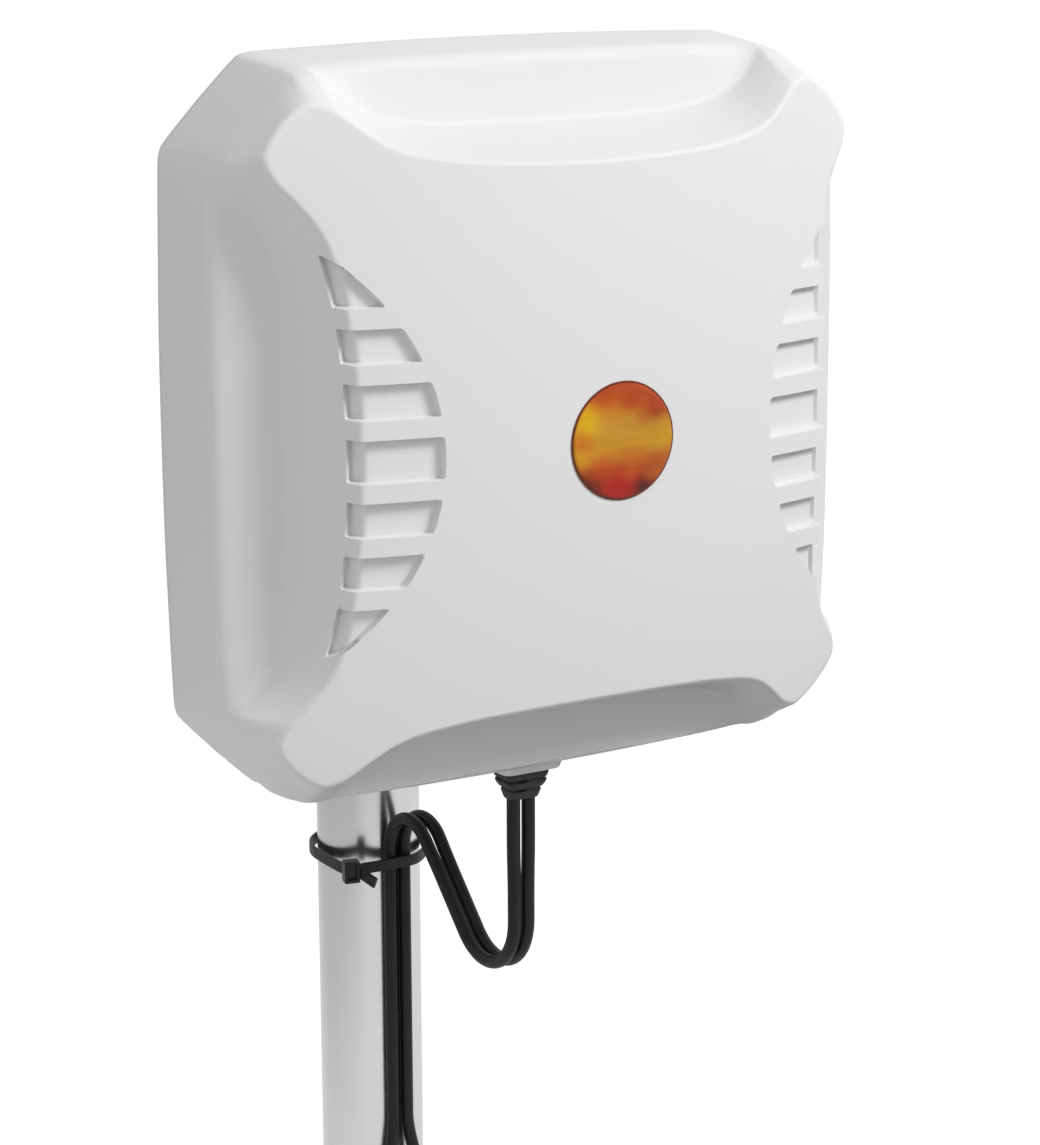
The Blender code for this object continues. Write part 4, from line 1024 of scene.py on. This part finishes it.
SIDES = (("a", -1), ("b", 1))
for tag, side in SIDES:
    obj = lead("lead_upper_" + tag, upper_lead(), side)
    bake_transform(obj)
    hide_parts("coax_drop_" + tag)
    obj = lead("lead_lower_" + tag, lower_lead(), side)
    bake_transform(obj)
    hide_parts("coax_loop_" + tag, "coax_run_" + tag)

# ================================================================ cable tie
TIE_Z, TIE_H, TIE_T = 189.0, 4.4, 1.25
# centre line of the strap round leads and mast, (x, y)
STRAP = (
    (-19.4, -25.6), (-15.5, -25.7), (-11.0, -26.0), (-7.0, -26.35), (-3.1, -26.45), (0.0, -26.45),
    (3.1, -26.4), (7.4, -25.2), (12.8, -20.9), (17.7, -14.2), (20.7, -6.8), (21.5, 0.0),
    (20.2, 7.6), (15.2, 15.2), (7.6, 20.1), (0.0, 21.4), (-7.6, 20.4), (-14.6, 16.5),
    (-19.8, 10.8), (-22.5, 3.8), (-23.1, -4.0), (-23.1, -11.5), (-22.9, -18.0), (-22.3, -23.0))
# strap section: (out from the centre line, up)
STRAP_SECTION = eased_box(-TIE_T / 2, TIE_T / 2, -TIE_H / 2, TIE_H / 2, 0.28)
BLOCK_X, BLOCK_Y, BLOCK_TURN = -21.7, -25.9, math.radians(-14.0)
BLOCK_HALF_X, BLOCK_HALF_Y, BLOCK_HALF_Z = 3.05, 2.5, 4.3
# block from its back to the recess in its front: inset in x, inset in z, depth back, corner radius
BLOCK_RINGS = (
    (0.5, 0.5, BLOCK_HALF_Y, 0.5), (0.12, 0.12, BLOCK_HALF_Y - 0.12, 0.5),
    (0.0, 0.0, BLOCK_HALF_Y - 0.45, 0.5), (0.0, 0.0, -BLOCK_HALF_Y + 0.45, 0.5),
    (0.12, 0.12, -BLOCK_HALF_Y + 0.12, 0.5), (0.5, 0.5, -BLOCK_HALF_Y, 0.3),
    (1.15, 1.25, -BLOCK_HALF_Y, 0.15), (1.3, 1.4, -BLOCK_HALF_Y + 0.15, 0.1),
    (1.4, 1.5, -BLOCK_HALF_Y + 1.3, 0.1))


def strap_mesh():
    line = catmull_rom(STRAP, 1.0)
    tangents = unit(np.gradient(line, axis=0))
    outwards = np.stack([tangents[:, 1], -tangents[:, 0]], 1)
    return capped([np.array([(*(point + normal * out), TIE_Z + z) for out, z in STRAP_SECTION])
                   for point, normal in zip(line, outwards)])


def block_mesh():
    cos, sin = math.cos(BLOCK_TURN), math.sin(BLOCK_TURN)
    rings = []
    for inset_x, inset_z, depth, radius in BLOCK_RINGS:
        half_x, half_z = BLOCK_HALF_X - inset_x, BLOCK_HALF_Z - inset_z
        x, z, y = rounded_rect(half_x, half_z, radius, depth, 3).T
        rings.append(np.stack([BLOCK_X + x * cos - y * sin, BLOCK_Y + x * sin + y * cos,
                               TIE_Z + z], 1))
    return capped(rings)


def tail_mesh():
    """Short cut end of the strap, sloping down and forward from the block."""
    start, end = np.array((-19.6, -26.0, TIE_Z + 0.2)), np.array((-15.9, -34.6, TIE_Z - 3.4))
    along = unit(end - start)
    across = unit(np.cross(along, (0.0, 0.0, 1.0)))
    up = np.cross(across, along)
    return capped([np.array([lerp(start, end, t) + across * out + up * z * 0.98
                             for out, z in STRAP_SECTION]) for t in np.linspace(0, 1, 6)])


piece("strap_tie", joined(strap_mesh(), block_mesh(), tail_mesh()), NYLON, "mast",
      ("cable_tie",), angle=40)


# ================================================================ hexagons and connectors
def hexagon(across, clip=0.985):
    """Radius of a hexagon by angle, its corners clipped to a share of their radius."""
    def radius(angles):
        turn = np.mod(angles, math.pi / 3) - math.pi / 6
        return np.minimum(across / 2 / np.cos(turn), across / math.sqrt(3.0) * clip)
    return radius


def less(function, amount):
    return lambda angles: function(angles) - amount


def chamfer(radius, start, slope, extra):
    """Fall of a chamfer by angle, from the circle of radius start out to the hexagon."""
    return lambda angles: (radius(angles) - start) * slope + extra


def below(top, fall):
    return lambda angles: top - fall(angles)


# connector shell: (radius, distance below the top), and a rounding for each inner corner
SHELL = ((0.0, 0.3), (3.2, 0.3), (3.2, 9.6), (3.9, 10.3), (3.9, 14.0), (2.6, 14.0), (2.6, 17.0),
         (3.3, 17.0), (3.3, 18.2), (2.3, 18.2), (2.3, 21.5), (1.6, 21.5), (1.6, 20.9), (0.0, 20.9))
SHELL_ROUNDING = (0.5, 0.3, 0.25, 0.3, 0.1, 0.1, 0.2, 0.2, 0.1, 0.15, 0.1, 0.1)
CRIMPS = (3.4, 7.2)     # below the top
PIN = ((0.0, 21.2), (0.47, 21.2), (0.47, 24.3), (0.38, 24.55), (0.2, 24.75), (0.0, 24.8))
COUPLING_TOP, COUPLING_LOW = CONNECTOR_TOP - 14.6, CONNECTOR_TOP - 24.0
COUPLING_ACROSS = 4.6 * math.sqrt(3.0)


def from_top(table):
    return [(radius, CONNECTOR_TOP - drop) for radius, drop in table]


def shell_mesh():
    """Shell with two crimp dents round its sleeve."""
    profile = rounded_profile(from_top(SHELL), SHELL_ROUNDING)
    dents = [(radius, CONNECTOR_TOP - crimp + rise) for crimp in CRIMPS
             for radius, rise in ((3.2, 0.9), (3.02, 0.6), (3.02, -0.6), (3.2, -0.9))]
    after = next(i for i, (_, z) in enumerate(profile) if z < CONNECTOR_TOP - CRIMPS[-1] - 1.0)
    profile[after:after] = dents
    return turned(profile, 64)


def coupling_mesh():
    """Hex nut with a ridged bore and a groove round its outside."""
    low, top = COUPLING_LOW, COUPLING_TOP
    radius = hexagon(COUPLING_ACROSS, 0.99)
    start = COUPLING_ACROSS / 2 * 0.95
    fall = chamfer(radius, start, slope=0.58, extra=0.04)
    groove = less(radius, 0.25)
    profile = [(2.9, top - 0.25), (2.9, top - 2.1), (3.6, top - 2.4)]
    for z in np.arange(top - 2.6, low + 0.6, -0.5):
        profile += [(3.6, z), (3.38, z - 0.16), (3.6, z - 0.32)]
    profile += [(3.6, low + 0.3), (3.85, low), (start, low),
                (radius, lambda angles: low + fall(angles)), (radius, top - 3.0),
                (groove, top - 2.8), (groove, top - 2.4), (radius, top - 2.2),
                (radius, below(top, fall)), (start, top), (3.1, top)]
    return turned(profile, 72, closed=True)


for tag, side in SIDES:
    for name, mesh, body, node in (
            ("connector_shell_", shell_mesh(), "mast", "connector_body_"),
            ("contact_pin_", turned(from_top(PIN), 24), "mast", "centre_pin_"),
            ("hex_coupling_", coupling_mesh(), "nut_" + tag, "coupling_nut_")):
        piece(name + tag, placed(mesh, centre=(side * CONNECTOR_X, CONNECTOR_Y)), BRASS, body,
              (node + tag,))

# ================================================================ pressed brackets
TILT_Y, TILT_Z = -62.0, 394.0                       # pivot of the tilt
LOCK_R = 28.0                                       # lock bolt below the pivot
LOCK_Y, LOCK_Z = TILT_Y, TILT_Z - LOCK_R
SWING = 16.2                                        # degrees the slot runs to each side
SHEET, BEND_IN = 3.0, 1.6                           # sheet thickness, inner radius of bends
HEAD_Y, HEAD_X, HEAD_HALF_Z = -91.8, 34.6, 40.0     # head bracket: front of web, half width
YOKE_X, YOKE_WEB, YOKE_HALF_Z = 38.2, -30.0, 24.0   # yoke: half width, rear of web
YOKE_FRONT = YOKE_WEB - SHEET
JAW_FRONT, JAW_HALF_Z = 30.0, 20.0
JAW_REAR = JAW_FRONT + SHEET
CLAMP_X, BOLT_HOLE = 27.2, 4.3
SLOT_R = 4.5
APEX = (MAST_R + GAP) * math.sqrt(2.0)              # tip of the notch that takes the mast
THROUGH = (-60, 60)                                 # x span of cutters through both ears


def u_section(half_x, web_y, ear_y, away):
    """Folded U in (x, y): outer faces at +-half_x and web_y, ears towards away * Y to ear_y."""
    outer = BEND_IN + SHEET
    left, right = -half_x + outer, half_x - outer

    def fold(x, radius, start, stop, steps):
        return [(x, web_y + away * (y + outer)) for x, y in arc(x, 0.0, radius, start, stop, steps)]

    return ([(-half_x, ear_y)] + fold(left, outer, 180, 270, 8) + fold(right, outer, 270, 360, 8)
            + [(half_x, ear_y), (half_x - SHEET, ear_y)] + fold(right, BEND_IN, 360, 270, 6)
            + fold(left, BEND_IN, 270, 180, 6) + [(-half_x + SHEET, ear_y)])


def tool(operation, outline, low, high, axis):
    return operation, make_object("tool", *extruded(outline, low, high, axis))


def hole(centre, radius, low, high, axis):
    return tool("DIFFERENCE", arc(*centre, radius, 0, 352.5, 47), low, high, axis)


def flange(away, z):
    """Sheet in the XY plane with its 90 degree notch for the mast, towards away * Y."""
    half = [(-YOKE_X, 30.6), (-YOKE_X, 24.0), (-26.0, 9.0), (-(APEX - 9.0), 9.0)]
    points = half + [(0.0, APEX)] + [(-x, y) for x, y in half[::-1]]
    outline = rounded_profile(points, [2.0, 3.0, 1.6, 0.0, 1.6, 3.0, 2.0], 5)
    return tool("UNION", [(x, away * y) for x, y in outline], z, z + SHEET, "Z")


def press(name, blank, tools, body, node):
    """Works the tools, (operation, object) pairs, into the blank and finishes it."""
    obj = make_object(name, *blank)
    for operation, cutter in tools:
        modifier = obj.modifiers.new("cut", "BOOLEAN")
        modifier.object = cutter
        modifier.operation = operation
        modifier.solver = "EXACT"
    evaluated = obj.evaluated_get(bpy.context.evaluated_depsgraph_get())
    mesh = bpy.data.meshes.new_from_object(evaluated)
    obj.modifiers.clear()
    obj.data = mesh
    for _, cutter in tools:
        bpy.data.objects.remove(cutter)
    mesh.materials.clear()
    mesh.materials.append(GALVANISED)
    soften(obj, width=0.35, angle=40)
    shade(obj, 38)
    enrol(obj, body, (node,))


def head_bracket():
    rear = HEAD_Y + SHEET
    ear = ([(HEAD_Y - 1.0, PANEL_Z - 41.0), (HEAD_Y - 1.0, PANEL_Z + 41.0),
            (rear + 0.02, PANEL_Z + 41.0), (rear + 0.1, PANEL_Z + 36.0),
            (rear + 1.5, PANEL_Z + 35.6), (TILT_Y - 8.0, TILT_Z + 14.0)]
           + arc(TILT_Y, TILT_Z, 12.0, 0, 80, 12)[::-1] + arc(LOCK_Y, LOCK_Z, 11.5, 0, -80, 12)
           + [(LOCK_Y - 8.0, LOCK_Z - 14.0), (rear + 1.5, PANEL_Z - 35.6),
              (rear + 0.1, PANEL_Z - 36.0), (rear + 0.02, PANEL_Z - 41.0)])
    tools = [tool("INTERSECT", ear, *THROUGH, "X"),
             hole((TILT_Y, TILT_Z), BOLT_HOLE, *THROUGH, "X"),
             hole((LOCK_Y, LOCK_Z), BOLT_HOLE, *THROUGH, "X")]
    tools += [hole((sx * 24.0, PANEL_Z + sz * 28.0), 3.4, HEAD_Y - 5, HEAD_Y + 8, "Y")
              for sx in (-1, 1) for sz in (-1, 1)]
    blank = extruded(u_section(HEAD_X, HEAD_Y, -40.0, 1),
                     PANEL_Z - HEAD_HALF_Z, PANEL_Z + HEAD_HALF_Z, "Z")
    press("bracket_press", blank, tools, "head", "head_bracket")


def lock_slot():
    """Curved slot about the pivot."""
    low, high = 270 - SWING, 270 + SWING

    def end(angle, start, stop):
        turn = math.radians(angle)
        y, z = TILT_Y + LOCK_R * math.cos(turn), TILT_Z + LOCK_R * math.sin(turn)
        return arc(y, z, SLOT_R, angle + start, angle + stop, 10)

    return (arc(TILT_Y, TILT_Z, LOCK_R + SLOT_R, low, high, 16) + end(high, 15, 165)
            + arc(TILT_Y, TILT_Z, LOCK_R - SLOT_R, high, low, 16) + end(low, -165, -15))


def mast_yoke():
    ear = ([(YOKE_WEB + 1.0, PANEL_Z - 25.0), (YOKE_WEB + 1.0, PANEL_Z + 25.0),
            (YOKE_FRONT - 0.1, PANEL_Z + 25.0), (YOKE_FRONT - 0.2, PANEL_Z + 23.6),
            (TILT_Y + 8.0, TILT_Z + 12.6)]
           + arc(TILT_Y, TILT_Z, 12.0, 80, 180, 14) + arc(TILT_Y, TILT_Z, 37.0, 243, 297, 14)
           + [(YOKE_FRONT - 0.2, PANEL_Z - 23.6), (YOKE_FRONT - 0.1, PANEL_Z - 25.0)])
    tools = [tool("INTERSECT", ear, *THROUGH, "X"),
             flange(-1, PANEL_Z + YOKE_HALF_Z - SHEET), flange(-1, PANEL_Z - YOKE_HALF_Z),
             hole((TILT_Y, TILT_Z), BOLT_HOLE, *THROUGH, "X"),
             tool("DIFFERENCE", lock_slot(), *THROUGH, "X")]
    tools += [hole((side * CLAMP_X, PANEL_Z), BOLT_HOLE, -50, -20, "Y") for side in (-1, 1)]
    blank = extruded(u_section(YOKE_X, YOKE_WEB, -90.0, -1),
                     PANEL_Z - YOKE_HALF_Z, PANEL_Z + YOKE_HALF_Z, "Z")
    press("yoke_press", blank, tools, "clamp", "mast_yoke")


def rear_jaw():
    low, high = PANEL_Z - JAW_HALF_Z, PANEL_Z + JAW_HALF_Z
    outline = rounded_profile([(0, low), (YOKE_X, low), (YOKE_X, high), (-YOKE_X, high),
                               (-YOKE_X, low), (0.001, low)], [0.4] * 4, 2)
    tools = [flange(1, high - SHEET), flange(1, low)]
    tools += [hole((side * CLAMP_X, PANEL_Z), BOLT_HOLE, 20, 50, "Y") for side in (-1, 1)]
    press("jaw_press", extruded(outline, JAW_FRONT, JAW_REAR, "Y"), tools, "clamp", "rear_jaw")


head_bracket()
mast_yoke()
rear_jaw()

# ================================================================ bolts, nuts, washers, screws
HEX_ACROSS, HEX_HEAD_H, HEX_NUT_H, NUT_BORE = 13.0, 5.3, 6.5, 3.75
HEX_START = HEX_ACROSS / 2 * 0.95       # where the chamfer starts
HEX_COLLAR_R, HEX_COLLAR_H = HEX_ACROSS / 2 * 0.96, 0.35
WASHER_BORE, WASHER_R, WASHER_H, WASHER_EASE = 4.3, 8.0, 1.6, 0.22
THREAD_R, THREAD_PITCH, THREAD_DEEP, THREAD_CHAMFER = 4.0, 1.25, 0.62, 0.9
BOLT_OVERLAP = 0.6                      # shank buried in the head

hex_radius = hexagon(HEX_ACROSS)
hex_fall = chamfer(hex_radius, HEX_START, slope=math.tan(math.radians(30)), extra=0.05)


def hex_head():
    top = HEX_HEAD_H
    return turned([
        (0.0, 0.0), (HEX_COLLAR_R, 0.0), (HEX_COLLAR_R, HEX_COLLAR_H),
        (less(hex_radius, 0.12), HEX_COLLAR_H), (hex_radius, HEX_COLLAR_H + 0.12),
        (hex_radius, below(top, hex_fall)), (HEX_START, top), (HEX_START - 0.6, top),
        (HEX_START - 1.5, top - 0.22), (0.0, top - 0.22)], 72)


def hex_nut():
    top, bore = HEX_NUT_H, NUT_BORE
    return turned([
        (bore, top - 0.6), (bore, 0.6), (bore + 0.65, 0.0), (HEX_START, 0.0),
        (hex_radius, hex_fall), (hex_radius, below(top, hex_fall)), (HEX_START, top),
        (bore + 0.65, top)], 72, closed=True)


def washer():
    section = eased_box(WASHER_BORE, WASHER_R, 0, WASHER_H, WASHER_EASE)
    return turned(section[2:] + section[:2], 56, closed=True)


def threaded_rod(length, plain):
    """Rod from z = 0 to length, threaded beyond plain, chamfered at its end."""
    sides = 36
    angles = np.arange(sides) * 2 * math.pi / sides
    rows = int(length / THREAD_PITCH * 7)
    rings = [(0.0, 0.0, 0.0)]
    for k in range(rows + 1):
        z = length * k / rows
        phase = np.mod(z / THREAD_PITCH - angles / (2 * math.pi), 1.0)
        cut = THREAD_DEEP * np.clip(1.15 - 2.6 * np.abs(phase - 0.5), 0.0, 1.0) * (z > plain)
        radius = np.minimum(THREAD_R - cut, THREAD_R - THREAD_CHAMFER + (length - z))
        rings.append(np.stack([radius * np.cos(angles), radius * np.sin(angles),
                               np.full(sides, z)], 1))
    rings.append((0.0, 0.0, length))
    return skin(rings)


def bolt(axis, centre, seat, end, plain):
    """Bolt along +axis: its head lies before seat, its shank ends at end."""
    rod = threaded_rod(abs(end - seat) + BOLT_OVERLAP, plain)
    return joined(placed(hex_head(), axis, centre, seat, -1),
                  placed(rod, axis, centre, seat - BOLT_OVERLAP))


def pan_head(head_r, head_h, shank_r, length):
    """Pan screw with a six-lobed socket; the head sits on z = 0, the shank runs to -length."""
    def lobed(size):
        return lambda angles: head_r * 0.44 * size * (1.0 + 0.13 * np.cos(6 * angles))

    # (share of the head's radius, share of its height)
    crown = ((0.62, 1.0), (0.78, 0.95), (0.9, 0.82), (0.97, 0.62), (1.0, 0.38), (1.0, 0.12),
             (0.97, 0.0))
    profile = [(0.0, head_h * 0.35), (lobed(0.9), head_h * 0.36), (lobed(0.97), head_h * 0.95),
               (lobed(1.06), head_h)]
    profile += [(head_r * r, head_h * h) for r, h in crown]
    profile += [(shank_r, 0.0), (shank_r, -length + shank_r * 0.6), (shank_r * 0.4, -length),
                (0.0, -length)]
    return turned(profile)


def fastener(name, mesh, node, body, angle=35):
    piece(name, mesh, STAINLESS, body, (node,), angle)


def screw(name, node, mesh, base, sign):
    """Screw along Y, centred on the node it replaces."""
    low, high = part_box(node)
    centre = ((low.x + high.x) / 2 * 1000, (low.z + high.z) / 2 * 1000)
    fastener(name, placed(mesh, "Y", centre, base, sign), node, "head")


for tag, centre in (("pivot", (TILT_Y, TILT_Z)), ("tilt_lock", (LOCK_Y, LOCK_Z))):
    outside = YOKE_X + 2 * GAP + WASHER_H
    for k, side in ((1, -1), (2, 1)):
        node = "%s_washer_%d" % (tag, k)
        fastener("%s_plain_washer_%d" % (tag, k),
                 placed(washer(), "X", centre, side * (YOKE_X + GAP), side), node, node_body(node))
    node = tag + "_bolt"
    fastener(tag + "_hex_bolt", bolt("X", centre, -outside, YOKE_X + 12.5, plain=76.0), node,
             node_body(node), angle=32)
    node = tag + "_nut"
    fastener(tag + "_hex_nut", placed(hex_nut(), "X", centre, outside), node, node_body(node))

for tag, side in (("1", -1), ("2", 1)):
    centre = (side * CLAMP_X, PANEL_Z)
    node = "clamp_bolt_" + tag
    fastener("clamp_hex_bolt_" + tag, bolt("Y", centre, YOKE_FRONT - GAP, 47.0, plain=52.0), node,
             node_body(node), angle=32)
    for kind, name, mesh, base in (
            ("washer", "clamp_plain_washer_", washer(), JAW_REAR + GAP),
            ("nut", "clamp_hex_nut_", hex_nut(), JAW_REAR + WASHER_H + 2 * GAP)):
        node = "clamp_%s_%s" % (kind, tag)
        fastener(name + tag, placed(mesh, "Y", centre, base), node, node_body(node))

for k in range(1, 9):
    screw("pan_screw_%d" % k, "cover_screw_%d" % k,
          pan_head(head_r=3.8, head_h=2.6, shank_r=1.6, length=16.0), RIM_Y - 2.0 + GAP, 1)
for k in range(1, 5):
    screw("bracket_pan_screw_%d" % k, "bracket_screw_%d" % k,
          pan_head(head_r=5.8, head_h=3.6, shank_r=3.0, length=14.0), HEAD_Y + SHEET + GAP, 1)
    screw("reflector_pan_screw_%d" % k, "reflector_screw_%d" % k,
          pan_head(head_r=2.9, head_h=2.0, shank_r=1.5, length=9.0), RIM_Y - 17.5 - GAP, -1)

# ================================================================ CAD nodes kept
# (node, finish, bevel width)
for node, mat, width in (
        ("rear_cover", COVER, 0.5), ("rim_gasket", SEAL, 0.25),
        ("reflector_plate", SHEET_METAL, 0.25), ("director_plate", SHEET_METAL, 0.2),
        ("director_spacer", ACETAL, 0.3), ("dipole_board_a", BOARD, 0.12),
        ("dipole_board_b", BOARD, 0.12)):
    obj = bpy.data.objects[node]
    for slot in obj.material_slots:
        slot.material = mat
    soften(obj, width, angle=35)

# ================================================================ stage (metres from here on)
FLOOR_HALF, FLOOR_Z = 14.0, -0.0005


def grey(value):
    return (value,) * 3


def paper(name):
    """White paper: bright to the camera and in reflections, darker for the light it throws back."""
    albedo, left_albedo = grey(0.07), grey(0.80)    # for thrown light, in general and at -X
    glow, sheen = 0.86, 0.62                        # emission to the camera and to reflections
    mat, nodes = new_material(name)
    x, y, _ = nodes.split(nodes.add("TexCoord", {}).outputs["Object"])
    camera_ray = nodes.ray("Camera")
    glossy_ray = nodes.ray("Glossy")
    left = nodes.remap(x, across=(-0.05, -0.24))
    thrown = nodes.mix(left, albedo, left_albedo)
    thrown = nodes.mix(glossy_ray, thrown, albedo)
    nodes.surface({"Roughness": 0.9, "Specular IOR Level": 0.0,
                   "Base Color": nodes.mix(camera_ray, thrown, grey(0.25)),
                   "Emission Color": grey(1)})
    under = nodes.math("MULTIPLY", nodes.window(x, rise=(-0.15, 0.0), fall=(0.32, 0.45)),
                       nodes.window(y, rise=(-0.15, 0.02), fall=(0.6, 0.9)))
    # only long reflected rays, such as the housing's, meet the dark patches
    length = nodes.add("LightPath", {}).outputs["Ray Length"]
    far = nodes.remap(length, across=(0.86, 1.02))
    patches = nodes.math("MAXIMUM", under, nodes.math("MULTIPLY", left, 0.85))
    seen = nodes.math("SUBTRACT", 1.0, nodes.math("MULTIPLY", far, patches))
    # short rays see the paper fade away towards -X and +Y
    side = nodes.math("ADD", nodes.math("MULTIPLY", x, -0.9), nodes.math("MULTIPLY", y, 0.43))
    close = nodes.remap(side, across=(0.06, 0.42), to=(sheen * 1.18, sheen * 0.84))
    tone = nodes.math("ADD", nodes.math("MULTIPLY", far, sheen),
                      nodes.math("MULTIPLY", nodes.math("SUBTRACT", 1.0, far), close))
    shown = nodes.math("ADD", nodes.math("MULTIPLY", camera_ray, glow),
                       nodes.math("MULTIPLY", nodes.math("MULTIPLY", glossy_ray, seen), tone))
    nodes.surface({"Emission Strength": shown})
    return mat


def build_floor():
    mesh = bpy.data.meshes.new("floor")
    corners = ((-1, -1), (1, -1), (1, 1), (-1, 1))
    mesh.from_pydata([(x * FLOOR_HALF, y * FLOOR_HALF, FLOOR_Z) for x, y in corners], [],
                     [(0, 1, 2, 3)])
    mesh.materials.append(paper("paper"))
    obj = bpy.data.objects.new("floor", mesh)
    SCENE.collection.objects.link(obj)


# grey of the sky from straight down (0) to straight up (1)
SKY = ((0.0, 0.30), (0.49, 0.50), (0.51, 0.80), (0.60, 0.86), (0.72, 0.83), (0.80, 0.63),
       (1.0, 0.19))


def build_world():
    """White to the camera; for light a grey sky, a little darker towards -X."""
    world = bpy.data.worlds.new("studio")
    SCENE.world = world
    world.use_nodes = True
    nodes = Nodes(world.node_tree, "Background")
    x, _, z = nodes.split(nodes.add("TexCoord", {}).outputs["Generated"])
    sky = nodes.ramp(nodes.remap(z, across=(-1.0, 1.0)), [(at, grey(v)) for at, v in SKY])
    dim = nodes.remap(x, across=(-0.9, 0.1), to=(0.83, 1.0))
    sky = nodes.mix(1.0, sky, dim, blend="MULTIPLY")
    nodes.surface({"Color": nodes.mix(nodes.ray("Camera"), sky, grey(1.0)), "Strength": 1.0})


def area_light(name, place, size, power, target=(0.0, -0.15, 0.38)):
    light = bpy.data.lights.new(name, "AREA")
    light.size = size
    light.energy = power
    obj = bpy.data.objects.new(name, light)
    SCENE.collection.objects.link(obj)
    obj.location = place
    obj.rotation_mode = "QUATERNION"
    obj.rotation_quaternion = (Vector(target) - Vector(place)).to_track_quat("-Z", "Y")
    return obj


def build_camera():
    data = bpy.data.cameras.new("camera")
    camera = bpy.data.objects.new("camera", data)
    SCENE.collection.objects.link(camera)
    SCENE.camera = camera
    data.sensor_width = 36.0
    data.lens = 98.970131
    data.shift_x = -0.00084716157
    data.shift_y = -0.0010218341
    data.clip_start = 0.05
    data.clip_end = 60.0
    right = Vector((0.85462137, -0.51924158, -0.00323999))
    up = Vector((0.12513071, 0.19988918, 0.97179557))
    back = Vector((-0.50394903, -0.83092268, 0.23580263))
    place = Vector((-556.878, -938.841 + RIM_Y, 202.897 + PANEL_Z)) * MM
    turn = Matrix((right, up, back)).transposed().to_4x4()
    camera.matrix_world = Matrix.Translation(place) @ turn


build_floor()
build_world()
key = area_light("key", place=(1.66, -2.40, 2.72), size=1.1, power=109.0)
key.visible_glossy = False
area_light("sheen", place=(-0.3, -0.9, 2.4), size=0.7, power=2.0)
build_camera()
SCENE.view_settings.view_transform = "Standard"
SCENE.view_settings.look = "None"
